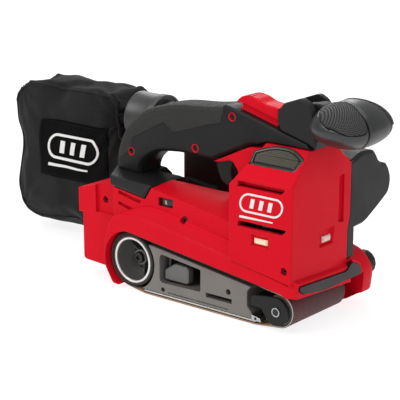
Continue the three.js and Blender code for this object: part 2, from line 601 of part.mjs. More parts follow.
// ---------------------------------------------------------------- platen
const platenFrame = () => {
  const side = [
    [-73, 4, 0], [53.8, 4, 1], [53.8, 9, 1], [48.5, 14.5, 1], [48.5, 28, 1], [52.6, 32.6, 1],
    [-58, 46.8, 2], [-73, 46.8, 0],
  ];
  const window = [[-50, 14.3, 5], [-2.5, 15.6, 1.5], [-2.5, 36.2, 1.5], [-50, 41.5, 5]];
  const lightening = [[10, 29, 2], [10, 35.5, 2], [44, 31.5, 2], [44, 29, 2]];
  return cut(slab(side, -HALF_BELT, LEFT_IN - GAP, { bevel: 0.6, steps: 1 }),
    disc(DRUM.x, DRUM.z, DRUM.r + BELT_THICK + 1.4, -60, 60, 48),
    slab(window, -60, 24), disc(-46.1, 8.3, 2.3, -60, -20, 16), disc(28.3, 22.6, 2.7, -60, -30, 20),
    slab([[3.3, 12.4, 0.6], [32.3, 12.4, 0.6], [32.3, 16.8, 0.6], [3.3, 16.8, 0.6]], -60, -24),
    slab([[-40, 6, 0.4], [28.8, 6, 0.4], [28.8, 7.4, 0.4], [-40, 7.4, 0.4]], -60, -36.8),
    slab(lightening, 20, 60),
    box(2, 60, -11.5, 11.5, 12.4, 31));
};

// ---------------------------------------------------------------- idler carriage and steering
const PIVOT = { x: 60, z: 21.5 };

const carriage = () => cut(join(rod(0, PIVOT.z, 4.6, 12, 50, 20), box(49.4, 55.4, -11, 11, 14, 27.5),
  box(55, 64, -6, 6, 19.5, 23.5)), post(PIVOT.x, 0, 2.5, 10, 40, 20));

const idlerFork = () => {
  const cheek = [
    [56.2, 18.6, 2], [56.2, 27.4, 3], [74, 30, 6], [87, 30.2, 9], [94.6, 22, 9], [94.6, 12.5, 9],
    [86, 5.6, 8],
    [76.5, 6.2, 4], [67, 18.2, 1],
  ];
  return cut(join(slab(cheek, -42.4, -38.9, { curve: 4 }), slab(cheek, 39.3, 43, { curve: 4 }),
    box(56.2, 64.5, -42.2, 42.8, 18.8, 26.2)),
    box(50, 70, -6.3, 6.3, 19.2, 23.8), post(PIVOT.x, 0, 2.5, 10, 40, 20),
    disc(IDLER.x, IDLER.z, AXLE + GAP, -60, 60, 24));
};

const tensionLever = () => {
  const side = [[-47.4, 17, 1], [-20, 17, 3], [-20, 33, 4], [-36, 33.5, 2], [-47.4, 26, 2]];
  return cut(slab(side, -34, -26, { bevel: 1, steps: 1 }), post(-43.5, -30, 2.3, 0, 60, 20));
};

// ---------------------------------------------------------------- dust path
const dustChute = () => {
  const body = slab([
    [-97, 65], [-60, 65], [-36, 74], [-34, 104, 8], [-44, 138, 16], [-66, 151, 12], [-97, 151, 8],
  ], 50, 88, { bevel: 4, steps: 2 });
  const spigot = rod(SPOUT.y, SPOUT.z, SPOUT.r, -166, -90, 40);
  const bore = join(rod(SPOUT.y, SPOUT.z, SPOUT.r - 2.4, -170, -70, 32), box(-90, -48, 55, 83, 86, 140));
  const roll = slab([
    [-96, 76], [-96, 86, 2], [-88, 88, 3], [-80, 87.4, 2], [-66, 85.4, 2], [-52, 84.2, 3], [-50, 80, 2],
    [-52, 75],
  ], LEFT_OUT + GAP, 53, { bevel: 2.4, steps: 2 });
  return { body, roll, spigot, bore };
};

const chuteBody = () => {
  const { body, roll, spigot, bore } = dustChute();
  return cut(join(body, roll, spigot), bore);
};

const dustBag = () => {
  const shape = [
    [BAG_REAR, 26, 18], [BAG_REAR, 143, 30], [BAG_REAR + 24, 160, 28], [-205, 160, 30],
    [-169, 156, 8], [-169, 100], [-157, 94, 10],
    [-155, 30, 14], [-170, 9, 16], [BAG_REAR + 14, 8, 20],
  ];
  return slab(shape, 38, 102, { bevel: 20, steps: 4 });
};

const dustCollar = () => {
  const profile = [
    [19.4, -17], [24.5, -17], [25, -14], [24.2, -9], [24.2, 14], [23, 17], [19.4, 17], [19.4, -17],
  ];
  const sleeve = new THREE.LatheGeometry(profile.map(([r, x]) => new THREE.Vector2(r, x)), 32);
  return sleeve.rotateZ(-Math.PI / 2).translate(-150.5, SPOUT.y, SPOUT.z);
};

// ---------------------------------------------------------------- assembly
const addScrews = () => {
  for (const { name, x, z, y } of nearScrews) {
    add(name, cut(disc(x, z, 3, y, y + 3, 20), disc(x, z, 1.4, y - 1, y + 1.8, 6)), STEEL);
  }
  for (const { name, x, z } of handleScrews) {
    const y = -GRIP + 1.2;
    add(name, cut(disc(x, z, 2.7, y, y + 1.6, 20), disc(x, z, 1.2, y - 1, y + 1, 6)), STEEL);
  }
};

const addShells = () => {
  add('housing_right', rightShell(), RED);
  add('housing_left', leftShell(), RED);
  add('drive_cover', driveCover(), RED);
  add('battery_dock', batteryDock(), BLACK);
  add('terminal_block', terminalBlock(), BRASS);
  add('front_bumper', bar(bumperShape(0), NOSE - 2.9, NOSE + 1.6), RUBBER);
  add('shoulder_pad_right', padSolid(-1, 0, 4.4), RUBBER);
  add('shoulder_pad_left', padSolid(1, 0, 4.4), RUBBER);
  add('led_side', hull([60.5, 74.5].flatMap((x) => [
    [x, SIDE + 2.5, 79.6], [x, SIDE + 2.5, 74.8], [x, SIDE + 0.4, 77],
  ])), LENS);
  add('led_front', hull([0.8, 12.8].flatMap((y) => [
    [FRONT - 2.7, y, 77], [FRONT - 2.7, y, 71.4], [FRONT - 0.6, y, 74.4],
  ])), LENS);
};

const addHandle = () => {
  add('handle_right', handleHalf(-1), BLACK);
  add('handle_left', handleHalf(1), BLACK);
  add('handle_grip', gripRubber(), RUBBER);
  add('handle_foot', handleFoot(), BLACK);
  const switchBox = join(box(-10, 14, -8, 8, 147.5, 160), disc(2, 146, 2.4, -4, 4, 12));
  add('switch_module', switchBox, GRAPHITE);
  add('trigger', trigger(), BLACK);
  add('lock_slider', lockSlider(), RED);
};

const addFrontHandle = () => {
  add('front_mount', mountBody(), BLACK);
  add('mount_bolt', disc(89, 182, 3.9, -14, 14, 20), STEEL);
  add('front_arm', frontArm(), BLACK);
  add('front_knob', frontKnob(), BLACK);
  add('knob_pad_right', knobPad(-1), RUBBER);
  add('knob_pad_left', knobPad(1), RUBBER);
};

const addMotor = () => {
  const { x, z } = MOTOR;
  add('motor_stator', ring(x, z, 14, 25, -22, 20), CAST);
  add('motor_rotor', join(disc(x, z, 13.4, -19, 17), disc(x, z, 4, -38, PULLEY.y1, 20)), STEEL);
  const fanSlots = Array.from({ length: 9 }, (_, i) =>
    new THREE.BoxGeometry(14, 9, 3.4).rotateY(0.5).translate(15, 23.4, 0)
      .rotateY((i * 2 * Math.PI) / 9).translate(x, 0, z));
  add('cooling_fan', cut(disc(x, z, 23, 23, 30), disc(x, z, 4.3, 0, 60, 20), ...fanSlots), BLACK);
  add('motor_bearing_right', ring(x, z, 4.3, 8, -36, -30, 24), STEEL);
  add('motor_pulley', toothedPulley(x, z, PULLEY.rMotor, 4.3, PULLEY.y0, PULLEY.y1 - 0.3, 9), STEEL);
  const drumPulley = toothedPulley(DRUM.x, DRUM.z, PULLEY.rDrum, 5.3, PULLEY.y0, PULLEY.y1 - 0.3, 19);
  add('drum_pulley', drumPulley, STEEL);
  add('drive_belt', band(driveCircles, GAP, 2.2, PULLEY.y0 + 1, PULLEY.y1 - 1.5, 40), RUBBER);
  add('control_board', join(box(-24, 28, -20, 26, 72, 73.6), box(-14, -4, -12, 6, 73.2, 80),
    box(8, 20, -4, 16, 73.2, 79)), BOARD);
};

const addDrums = () => {
  add('drive_drum', drumBody(), ALU);
  add('drum_tyre', ring(DRUM.x, DRUM.z, 21.7, DRUM.r - GAP, -HALF_BELT + 0.6, HALF_BELT - 0.6, 40), RUBBER);
  add('drum_shaft', disc(DRUM.x, DRUM.z, 4.7, -26.4, PULLEY.y1, 24), STEEL);
  const boltHead = disc(DRUM.x, DRUM.z, 5.4, -30.4, -27.3, 24);
  add('drum_bolt', cut(boltHead, disc(DRUM.x, DRUM.z, 2.4, -32, -28.4, 6)), STEEL);
  add('drum_bearing', ring(DRUM.x, DRUM.z, 5, 11, 38.6, 43.4, 28), STEEL);
  add('idler_drum', idlerBody(), CAST);
  add('idler_axle', disc(IDLER.x, IDLER.z, AXLE, -43.2, 43.2, 24), STEEL);
  add('sanding_belt', band(beltCircles, 0, BELT_THICK, -HALF_BELT, HALF_BELT, 56), ABRASIVE);
};

const addPlaten = () => {
  add('platen_frame', platenFrame(), CAST);
  const [x0, x1] = [PLATEN.x0 + 1, PLATEN.x1 - 1];
  add('platen_plate', box(x0, x1, -HALF_BELT + 0.2, HALF_BELT - 0.2, 2.4, 3.7), STEEL);
  add('platen_pad', box(x0, x1, -HALF_BELT + 0.4, HALF_BELT - 0.4, 1.5, 2.1), GRAPHITE);
  const stop = hull([-41.4, -34].flatMap((y) => [[56.2, y, 4.4], [56.2, y, 9.4], [65, y, 8], [66.5, y, 5]]));
  add('belt_edge_stop', cut(stop, disc(60.4, 6.8, 1.3, -60, -36, 12)), STEEL);
  add('tension_lever', tensionLever(), CAST);
  add('lever_pin', post(-43.5, -30, 2, 14.9, 39, 20), STEEL);
  add('tension_spring', coil(7.2, 1.5, 37, 7).rotateX(0.2).translate(11.4, 0, PIVOT.z), STEEL);
  add('idler_carriage', carriage(), CAST);
  add('steering_pin', post(PIVOT.x, 0, 2.2, 17.5, 27.6, 20), STEEL);
  add('idler_fork', idlerFork(), BLACK);
  const { x, z, r } = TRACKING;
  const knob = slab(circle(x, z, r, 14), COVER_OUT + GAP, 91, { bevel: 2, steps: 1 });
  add('tracking_knob', join(knob, disc(x, z, 3.4, 60, 82, 16)), BLACK);
};

const addDust = () => {
  add('dust_chute', chuteBody(), BLACK);
  add('dust_collar', dustCollar(), RUBBER);
  add('dust_bag', dustBag(), CLOTH);
  const { x, y, r } = DIAL;
  const notches = Array.from({ length: 14 }, (_, i) =>
    new THREE.BoxGeometry(0.9, 0.9, 12).translate(r, 0, 90).rotateZ((i * Math.PI) / 7).translate(x, y, 0));
  add('speed_dial', cut(post(x, y, r, 86.6, 93.4, 28), ...notches), BLACK);
};

addShells();
addHandle();
addFrontHandle();
addMotor();
addDrums();
addPlaten();
addDust();
addScrews();

export default sander;
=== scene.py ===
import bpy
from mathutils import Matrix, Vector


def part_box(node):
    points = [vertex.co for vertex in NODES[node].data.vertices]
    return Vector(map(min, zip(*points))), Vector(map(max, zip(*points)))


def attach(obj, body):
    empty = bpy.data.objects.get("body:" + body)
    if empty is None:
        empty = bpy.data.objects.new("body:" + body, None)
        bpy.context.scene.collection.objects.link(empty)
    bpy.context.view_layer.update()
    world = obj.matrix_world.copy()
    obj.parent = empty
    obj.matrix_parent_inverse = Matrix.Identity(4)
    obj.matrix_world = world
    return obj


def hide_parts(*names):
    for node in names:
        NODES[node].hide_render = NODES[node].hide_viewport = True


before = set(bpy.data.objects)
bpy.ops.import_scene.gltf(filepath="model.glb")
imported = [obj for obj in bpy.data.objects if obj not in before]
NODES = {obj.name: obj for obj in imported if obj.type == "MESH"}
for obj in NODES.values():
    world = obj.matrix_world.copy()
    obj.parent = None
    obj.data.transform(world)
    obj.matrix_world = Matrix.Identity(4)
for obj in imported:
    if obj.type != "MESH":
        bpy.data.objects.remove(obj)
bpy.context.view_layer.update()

from math import atan2, ceil, copysign, cos, exp, hypot, pi, radians, sin

import bmesh
import bpy
import numpy as np
from mathutils import Matrix, Vector, noise
from mathutils.bvhtree import BVHTree

# Lengths are in millimetres and are scaled by MM where a mesh or a material is made; the camera
# and the stage are in metres. +X is the tool's front, +Y its left side and +Z is up.
MM = 0.001

# Sizes and places that the pieces here share with the CAD solids.
BELT_WIDTH = 76.2
BELT_THICK = 1.2
BACKING_THICK = 0.72
DRUM = {"x": -82.7, "z": 28.5, "r": 24.3}
IDLER = {"x": 82.7, "z": 18.1, "r": 13.9}
PLATEN_REAR, PLATEN_FRONT = -67.0, 57.0
KNOB = {"x": 124.4, "z": 176.0, "length": 29.9, "width": 35.4, "up": 21.9, "down": 18.2}
SPOUT = {"y": 70.0, "z": 132.0}
DIAL = {"x": -41.5, "y": -25.8, "r": 12.8}


def placed(name, data):
    """A new object in the scene."""
    thing = bpy.data.objects.new(name, data)
    bpy.context.scene.collection.objects.link(thing)
    return thing


# ---- camera
AZIMUTH, ELEVATION = radians(39.42), radians(15.80)
TARGET = Vector((-34.355, 0.0, 85.43)) * MM
DISTANCE = 1.296
LENS, SENSOR = 130.37, 36.0


def add_camera():
    """Puts the camera at its distance from the target, along its azimuth and elevation."""
    back = Vector((
        sin(AZIMUTH) * cos(ELEVATION),
        -cos(AZIMUTH) * cos(ELEVATION),
        sin(ELEVATION),
    ))
    data = bpy.data.cameras.new("camera")
    data.lens, data.sensor_width = LENS, SENSOR
    camera = placed("camera", data)
    camera.location = TARGET + back * DISTANCE
    camera.rotation_mode = "QUATERNION"
    camera.rotation_quaternion = (-back).to_track_quat("-Z", "Y")
    bpy.context.scene.camera = camera


# ---- materials
def linear(code):
    """Linear RGBA of a hex colour such as 'd31a27'."""
    parts = [int(code[i:i + 2], 16) / 255 for i in (0, 2, 4)]
    return [p / 12.92 if p <= 0.04045 else ((p + 0.055) / 1.055) ** 2.4 for p in parts] + [1.0]


class Look:
    """Builds one node material round a Principled BSDF."""

    def __init__(self, name, colour, roughness, metallic=0.0, **sockets):
        self.material = bpy.data.materials.new(name)
        self.material.use_nodes = True
        self.tree = self.material.node_tree
        self.bsdf = self.tree.nodes["Principled BSDF"]
        self.colour = linear(colour)
        self.bsdf.inputs["Base Color"].default_value = self.colour
        self.bsdf.inputs["Roughness"].default_value = roughness
        self.bsdf.inputs["Metallic"].default_value = metallic
        for socket, value in sockets.items():
            self.bsdf.inputs[socket.replace("_", " ")].default_value = value
        self.place = self.new("ShaderNodeTexCoord").outputs["Object"]
        self.normal = None

    def feed(self, socket, value):
        if isinstance(value, bpy.types.NodeSocket):
            self.tree.links.new(value, socket)
        elif value is not None:
            socket.default_value = value

    def new(self, kind, inputs=None, **settings):
        """A node with its settings, and with inputs fed by name or by index."""
        node = self.tree.nodes.new(kind)
        for key, value in settings.items():
            setattr(node, key, value)
        for key, value in (inputs or {}).items():
            self.feed(node.inputs[key], value)
        return node

    def noise(self, scale, detail=2.0, place=None):
        inputs = {"Vector": place or self.place, "Scale": scale, "Detail": detail}
        return self.new("ShaderNodeTexNoise", inputs).outputs["Fac"]

    def cells(self, scale):
        inputs = {"Vector": self.place, "Scale": scale}
        return self.new("ShaderNodeTexVoronoi", inputs).outputs["Distance"]

    def math(self, operation, a, b=None):
        return self.new("ShaderNodeMath", {0: a, 1: b}, operation=operation).outputs[0]

    def plus(self, a, b):
        return self.math("ADD", a, b)

    def times(self, a, b):
        return self.math("MULTIPLY", a, b)

    def wave(self, value, rate):
        """Sine of a value times a rate."""
        return self.math("SINE", self.times(value, rate))

    def span(self, value, low, high, to_low=0.0, to_high=1.0):
        """Maps low..high of a value to to_low..to_high, clamped."""
        inputs = dict(enumerate((value, low, high, to_low, to_high)))
        return self.new("ShaderNodeMapRange", inputs).outputs[0]

    def split(self):
        """The x, y and z sockets of the place in object space, in metres."""
        return self.new("ShaderNodeSeparateXYZ", {0: self.place}).outputs

    def stretched(self, factors):
        node = self.new("ShaderNodeVectorMath", {0: self.place, 1: factors}, operation="MULTIPLY")
        return node.outputs[0]

    def mix(self, share, a, b):
        return self.new("ShaderNodeMix", {0: share, 6: a, 7: b}, data_type="RGBA").outputs[2]

    def rounded(self, radius):
        """Softens the shading of sharp edges and returns where it turned the normal."""
        bevel = self.new("ShaderNodeBevel", {"Radius": radius * MM}, samples=4)
        self.normal = bevel.outputs["Normal"]
        flat = self.new("ShaderNodeNewGeometry").outputs["Normal"]
        dot = self.new("ShaderNodeVectorMath", {0: self.normal, 1: flat}, operation="DOT_PRODUCT")
        return self.span(dot.outputs["Value"], 0.97, 0.75)

    def bump(self, height, depth):
        inputs = {"Distance": depth * MM, "Height": height, "Normal": self.normal}
        self.normal = self.new("ShaderNodeBump", inputs).outputs["Normal"]

    def tint(self, share, colour):
        """Blends the base colour towards a hex colour by a share socket."""
        current = self.bsdf.inputs["Base Color"]
        source = current.links[0].from_socket if current.links else list(current.default_value)
        self.feed(current, self.mix(share, source, linear(colour)))

    def fade(self, value, low, high, most, colour):
        """Blends towards a colour, up to a share, while a value goes from low to high."""
        self.tint(self.span(value, low, high, 0.0, most), colour)

    def roughness(self, value):
        self.feed(self.bsdf.inputs["Roughness"], value)

    def done(self):
        if self.normal is not None:
            self.feed(self.bsdf.inputs["Normal"], self.normal)
        return self.material


def moulded(name, colour, edge, mottle, roughness, grain, depth, radius, specular=0.5, metallic=0.0):
    """Injection-moulded plastic: spark-eroded grain, faint mottling, painted highlights on edges."""
    look = Look(name, colour, roughness, metallic, Specular_IOR_Level=specular)
    edge_highlight = look.rounded(radius)
    fine = look.noise(grain, 3.0)
    cloudy = look.noise(38.0, 4.0)
    look.fade(cloudy, 0.35, 0.75, 0.10, mottle)
    # painted highlight: the edge colour blended in along the softened edges
    look.tint(look.times(edge_highlight, 0.28), edge)
    look.roughness(look.span(cloudy, 0.3, 0.7, roughness - 0.05, roughness + 0.06))
    look.bump(fine, depth)
    return look


def metal(name, colour, roughness, stretch, depth=0.01, edge="ffffff", metallic=1.0):
    """Machined metal with fine tool marks drawn out along one direction."""
    look = Look(name, colour, roughness, metallic)
    edge_highlight = look.rounded(0.3)
    marks = look.noise(900.0, 3.0, look.stretched(stretch))
    stain = look.noise(60.0, 4.0)
    look.fade(stain, 0.4, 0.8, 0.25, "55524e")
    # painted highlight: the edge colour blended in along the softened edges
    look.tint(look.times(edge_highlight, 0.35), edge)
    look.roughness(look.span(marks, 0.2, 0.8, roughness - 0.08, roughness + 0.12))
    look.bump(marks, depth)
    return look.done()


def diamonds(look, pitch=2.2):
    """Height of a diamond lattice in object space; it reads on faces of any direction."""
    x, y, z = look.split()
    rate = pi / (pitch * MM)
    across = look.plus(y, z)
    up = look.wave(look.plus(x, across), rate)
    down = look.wave(look.math("SUBTRACT", x, across), rate)
    return look.math("ABSOLUTE", look.times(up, down))


def knob_lattice(look, pitch=1.7):
    """Height of the fine lattice on the palm grip's pads."""
    x, y, z = look.split()
    rate = pi / (pitch * MM)
    slant = look.math("SUBTRACT", look.times(x, 0.6), look.times(z, 0.8))
    up = look.wave(look.plus(y, slant), rate)
    down = look.wave(look.math("SUBTRACT", y, slant), rate)
    return look.math("ABSOLUTE", look.times(up, down))


def grip_rubber(name, colour, lattice_highlight, height_of, depth):
    """Soft rubber with a raised lattice, with painted highlights on its tops and on the edges."""
    look = Look(name, colour, 0.72, Specular_IOR_Level=0.35)
    edge_highlight = look.rounded(0.6)
    cloudy = look.noise(30.0, 4.0)
    look.fade(cloudy, 0.4, 0.75, 0.3, "1f1f1d")
    # painted highlight on the softened edges
    look.tint(look.times(edge_highlight, 0.3), "55564f")
    height = height_of(look)
    # painted highlight: the tops of the lattice blended towards a paler colour
    look.fade(height, 0.35, 0.85, 0.6, lattice_highlight)
    look.roughness(look.span(height, 0.0, 0.8, 0.75, 0.5))
    look.bump(height, depth)
    look.bump(look.noise(2600.0, 2.0), 0.02)
    return look.done()


PANEL_START, PANEL_TOP, PANEL_SLOPE = 26.0, 179.0, 0.2692


def handle_plastic():
    """Black plastic with a knurled panel along the side of the neck, under a sloping edge."""
    look = moulded("handle_moulded", "151515", "464743", "1c1c1d", 0.48, 1300.0, 0.03, 0.6, 0.22)
    x, _, z = look.split()
    ahead = look.span(x, PANEL_START * MM, (PANEL_START + 2) * MM)
    ridge = look.plus(z, look.times(x, PANEL_SLOPE))
    below = look.span(ridge, PANEL_TOP * MM, (PANEL_TOP - 1) * MM)
    look.bump(look.times(diamonds(look, 1.5), look.times(ahead, below)), 0.22)
    return look.done()


def cast_alloy():
    """Painted die casting: orange-peel skin, grey paint, painted highlights bright on the edges."""
    look = Look("die_casting", "75716d", 0.45, 0.3)
    edge_highlight = look.rounded(0.5)
    cloudy = look.noise(45.0, 5.0)
    look.fade(cloudy, 0.35, 0.75, 0.3, "6c6864")
    # painted highlight: a pale colour blended in along the softened edges
    look.tint(look.times(edge_highlight, 0.5), "c9c6c1")
    look.roughness(look.span(cloudy, 0.3, 0.7, 0.38, 0.55))
    look.bump(look.noise(420.0, 3.0), 0.05)
    return look.done()


def abrasive():
    """Aluminium-oxide grit in a red-brown resin coat."""
    look = Look("abrasive_grit", "4a2527", 0.62, Specular_IOR_Level=0.5)
    grit = look.cells(2400.0)
    patches = look.noise(90.0, 5.0)
    look.fade(grit, 0.5, 0.15, 0.55, "6e4346")
    look.fade(patches, 0.45, 0.75, 0.35, "351a1c")
    look.roughness(look.span(grit, 0.1, 0.6, 0.45, 0.8))
    look.bump(grit, 0.12)
    return look.done()


def belt_backing():
    """Cotton backing of the belt: warm along the sole, dark with painted shade inside the loop and
    pale with a painted highlight at the nose.
    """
    look = Look("belt_backing", "b08d6c", 0.85)
    x, y, z = look.split()
    weave = look.times(look.wave(x, 7000.0), look.wave(y, 7000.0))
    look.fade(look.noise(120.0, 4.0), 0.4, 0.7, 0.5, "8a6647")
    # painted shade: the backing is darkened above the sole and round the drum, behind the nose
    behind_nose = look.span(x, 70 * MM, 60 * MM)
    above_sole = look.span(z, 8 * MM, 18 * MM)
    round_drum = look.span(x, -70 * MM, -84 * MM)
    shaded = look.times(look.math("MAXIMUM", above_sole, round_drum), behind_nose)
    look.tint(look.times(shaded, 0.93), "2a2422")
    # painted highlight: paler where the belt turns round the nose
    look.tint(look.span(x, 70 * MM, 84 * MM), "c2bab3")
    look.bump(weave, 0.06)
    return look.done()


def bag_fabric(name, colour, light, yarn=0.75, shine=0.2):
    """Plain-woven polyester: two sets of yarns, a soft sheen and slight fading."""
    look = Look(name, colour, 0.88, Sheen_Weight=0.4 * shine, Sheen_Roughness=0.5,
                Specular_IOR_Level=shine)
    x, y, z = look.split()
    rate = 2 * pi / (yarn * MM)
    along = look.wave(look.plus(x, y), rate)
    across = look.wave(look.plus(z, look.times(y, 0.5)), rate)
    weave = look.times(along, across)
    look.fade(look.noise(18.0, 5.0), 0.4, 0.75, 0.5, light)
    look.fade(weave, 0.1, 0.9, 0.25, light)
    look.bump(weave, 0.10)
    look.bump(look.noise(160.0, 4.0), 0.35)
    return look.done()


def lens(name, colour, glow):
    """Clear lamp cover with pressed lines and a faint warm light behind it."""
    look = Look(name, colour, 0.18, Coat_Weight=0.6)
    x, y, _ = look.split()
    lines = look.wave(look.plus(x, y), 5200.0)
    look.bump(lines, 0.15)
    look.fade(lines, 0.2, 1.0, 0.35, "f0b98a")
    look.bsdf.inputs["Emission Color"].default_value = linear("ffd9a8")
    look.bsdf.inputs["Emission Strength"].default_value = glow
    return look.done()


def ink():
    """Printed or embroidered white, with the threads of the embroidery."""
    look = Look("white_ink", "e9e9e6", 0.6)
    x, _, z = look.split()
    threads = look.wave(look.plus(x, z), 9000.0)
    look.fade(threads, -0.2, -1.0, 0.25, "9a9a96")
    look.bump(threads, 0.05)
    return look.done()


def circuit_board():
    """Green solder mask with the tracks showing through."""
    look = Look("circuit_board", "1d5b33", 0.4)
    tracks = look.cells(260.0)
    look.tint(look.span(tracks, 0.28, 0.32, 0.7, 0.0), "c9b37a")
    look.bump(tracks, 0.05)
    return look.done()


# Material, colour, painted edge highlight, mottling, roughness, scale and depth of the grain,
# radius of the softened edges, and then the specular level and the metallic share where they
# differ.
MOULDED = {
    "red": ("red_moulded", "cf0a20", "ff5c68", "a80a18", 0.40, 1500.0, 0.012, 0.9, 0.06),
    "black": ("black_moulded", "161716", "4c4d48", "1b1c1c", 0.48, 1300.0, 0.03, 0.6, 0.26),
    "gloss": ("black_gloss", "171816", "6a6b62", "171817", 0.25, 1600.0, 0.008, 0.6),
    "olive": ("pad_inlay", "24231c", "57564a", "1c1b16", 0.5, 1600.0, 0.02, 0.3),
    "dots": ("pad_dots", "67644f", "a29f88", "4c4a3c", 0.42, 1600.0, 0.01, 0.2),
    "knob": ("knob_rubber", "232424", "464743", "282929", 0.34, 1500.0, 0.015, 0.5, 0.6),
    "collar": ("collar_rubber", "2c2d2c", "4c4d49", "363736", 0.42, 1200.0, 0.03, 0.8, 0.6),
    "bumper": ("bumper_rubber", "21151b", "5d4550", "181016", 0.42, 700.0, 0.04, 0.6, 0.35),
    "tyre": ("tyre_rubber", "2b2a28", "56544e", "1d1c1b", 0.62, 900.0, 0.06, 0.5),
    "cup": ("cup_casting", "686765", "c5c4c0", "504f4d", 0.42, 700.0, 0.05, 0.3, 0.5, 0.4),
}
# Material, colour, roughness, stretch of the tool marks, and then their depth, the painted edge
# highlight and the metallic share where they differ.
METALS = {
    "steel": ("machined_steel", "b4b5b6", 0.26, (1.0, 0.2, 1.0)),
    "dark_steel": ("blued_steel", "3a3a3c", 0.35, (1.0, 0.3, 1.0), 0.01, "9a9a9a"),
    # shaded_steel is dark red: painted shade and a painted red reflection from the hole round the head
    "shaded_steel": ("shaded_steel", "5a1a1e", 0.45, (1.0, 0.3, 1.0), 0.01, "9a4a4c", 0.7),
    "silver": ("bright_rim", "e8e8e6", 0.30, (1.0, 0.15, 1.0), 0.005, "ffffff", 0.65),
    "plate": ("platen_steel", "c9c6bf", 0.30, (0.1, 1.0, 1.0)),
    "brass": ("contact_brass", "b98a4a", 0.3, (0.3, 1.0, 1.0), 0.01, "ffe9a8"),
}


def make_looks():
    looks = {key: moulded(*row).done() for key, row in MOULDED.items()}
    looks |= {key: metal(*row) for key, row in METALS.items()}
    looks |= {
        "handle": handle_plastic(),
        # the third colours are the painted highlights on the tops of each lattice
        "grip": grip_rubber("grip_rubber", "131312", "4a4a46", diamonds, 0.4),
        "knob_pad": grip_rubber("knob_pad_rubber", "141515", "636463", knob_lattice, 0.3),
        "cast": cast_alloy(),
        "abrasive": abrasive(),
        "backing": belt_backing(),
        "fabric": bag_fabric("bag_fabric", "0e0e0e", "1c1c1b"),
        "patch": bag_fabric("patch_fabric", "030303", "080808", 0.5, shine=0.06),
        "piping": bag_fabric("piping_fabric", "0e0e0e", "1c1c1b", 0.5),
        "lens_side": lens("lens_side", "f3dcbb", 0.12),
        "lens_front": lens("lens_front", "e2c4bf", 0.05),
        "ink": ink(),
        "board": circuit_board(),
    }
    return looks


# ---- CAD nodes that stay
CAD_LOOKS = {
    "red": "housing_right housing_left drive_cover lock_slider",
    "black": "battery_dock handle_foot switch_module front_mount front_arm dust_chute cooling_fan "
             "tracking_knob idler_fork trigger",
    "handle": "handle_right handle_left",
    "grip": "handle_grip",
    "bumper": "front_bumper",
    "cast": "platen_frame idler_carriage idler_drum motor_stator",
    "cup": "tension_lever",
    "dark_steel": "idler_axle lever_pin mount_bolt",
    "steel": "motor_rotor motor_bearing_right motor_pulley drum_pulley drum_shaft drum_bearing "
             "belt_edge_stop tension_spring steering_pin",
    "plate": "platen_plate",
    "brass": "terminal_block",
    "collar": "dust_collar",
    "tyre": "platen_pad drive_belt",
    "board": "control_board",
}


def smoothing_group(angle=20.0):
    """Welds the facets of a CAD mesh and shades it smooth, except across edges over the angle."""
    group = bpy.data.node_groups.new("smooth_by_angle", "GeometryNodeTree")
    for in_out in ("INPUT", "OUTPUT"):
        group.interface.new_socket("Geometry", in_out=in_out, socket_type="NodeSocketGeometry")
    kinds = ["NodeGroupInput", "GeometryNodeRemoveAttribute", "GeometryNodeMergeByDistance",
             "GeometryNodeSetShadeSmooth", "GeometryNodeSetShadeSmooth", "NodeGroupOutput"]
    chain = [group.nodes.new(kind) for kind in kinds]
    for a, b in zip(chain, chain[1:]):
        group.links.new(a.outputs[0], b.inputs[0])
    _, drop, weld, _, edges, _ = chain
    drop.inputs["Name"].default_value = "custom_normal"
    weld.inputs["Distance"].default_value = 1e-6
    edges.domain = "EDGE"
    edge_angle = group.nodes.new("GeometryNodeInputMeshEdgeAngle")
    below = group.nodes.new("FunctionNodeCompare")
    below.operation = "LESS_THAN"
    below.inputs[1].default_value = radians(angle)
    group.links.new(edge_angle.outputs["Unsigned Angle"], below.inputs[0])
    group.links.new(below.outputs[0], edges.inputs["Shade Smooth"])
    return group


def dress_cad(looks):
    """Gives each CAD node that stays visible its material and its smooth shading."""
    group = smoothing_group()
    for look, names in CAD_LOOKS.items():
        for name in names.split():
            node = NODES[name]
            node.material_slots[0].material = looks[look]
            node.modifiers.new("smooth", "NODES").node_group = group


# ---- mesh helpers
def turns(count):
    """Angles of a full turn in equal steps."""
    return [2 * pi * i / count for i in range(count)]


def loft(rings, closed=False):
    """(points, faces) of a tube through rings with equally many points, capped unless closed."""
    count = len(rings[0])
    points = [p for ring in rings for p in ring]
    faces = []
    for i in range(len(rings) if closed else len(rings) - 1):
        a, b = i * count, ((i + 1) % len(rings)) * count
        for j in range(count):
            k = (j + 1) % count
            faces.append((a + j, a + k, b + k, b + j))
    if not closed:
        faces.append(tuple(reversed(range(count))))
        faces.append(tuple(range(len(points) - count, len(points))))
    return points, faces


def merged(parts):
    points, faces = [], []
    for part_points, part_faces in parts:
        shift = len(points)
        points.extend(part_points)
        faces.extend(tuple(i + shift for i in face) for face in part_faces)
    return points, faces


def mesh_of(name, shape):
    """Mesh of a shape, which is (points in mm, faces), with its normals outwards."""
    points, faces = shape
    mesh = bpy.data.meshes.new(name)
    mesh.from_pydata([Vector(p) * MM for p in points], [], faces)
    work = bmesh.new()
    work.from_mesh(mesh)
    bmesh.ops.recalc_face_normals(work, faces=work.faces)
    work.to_mesh(mesh)
    work.free()
    return mesh


def shade(mesh, sharp=35.0):
    """Smooth shading, except across edges over an angle in degrees."""
    mesh.shade_smooth()
    mesh.set_sharp_from_angle(angle=radians(sharp))


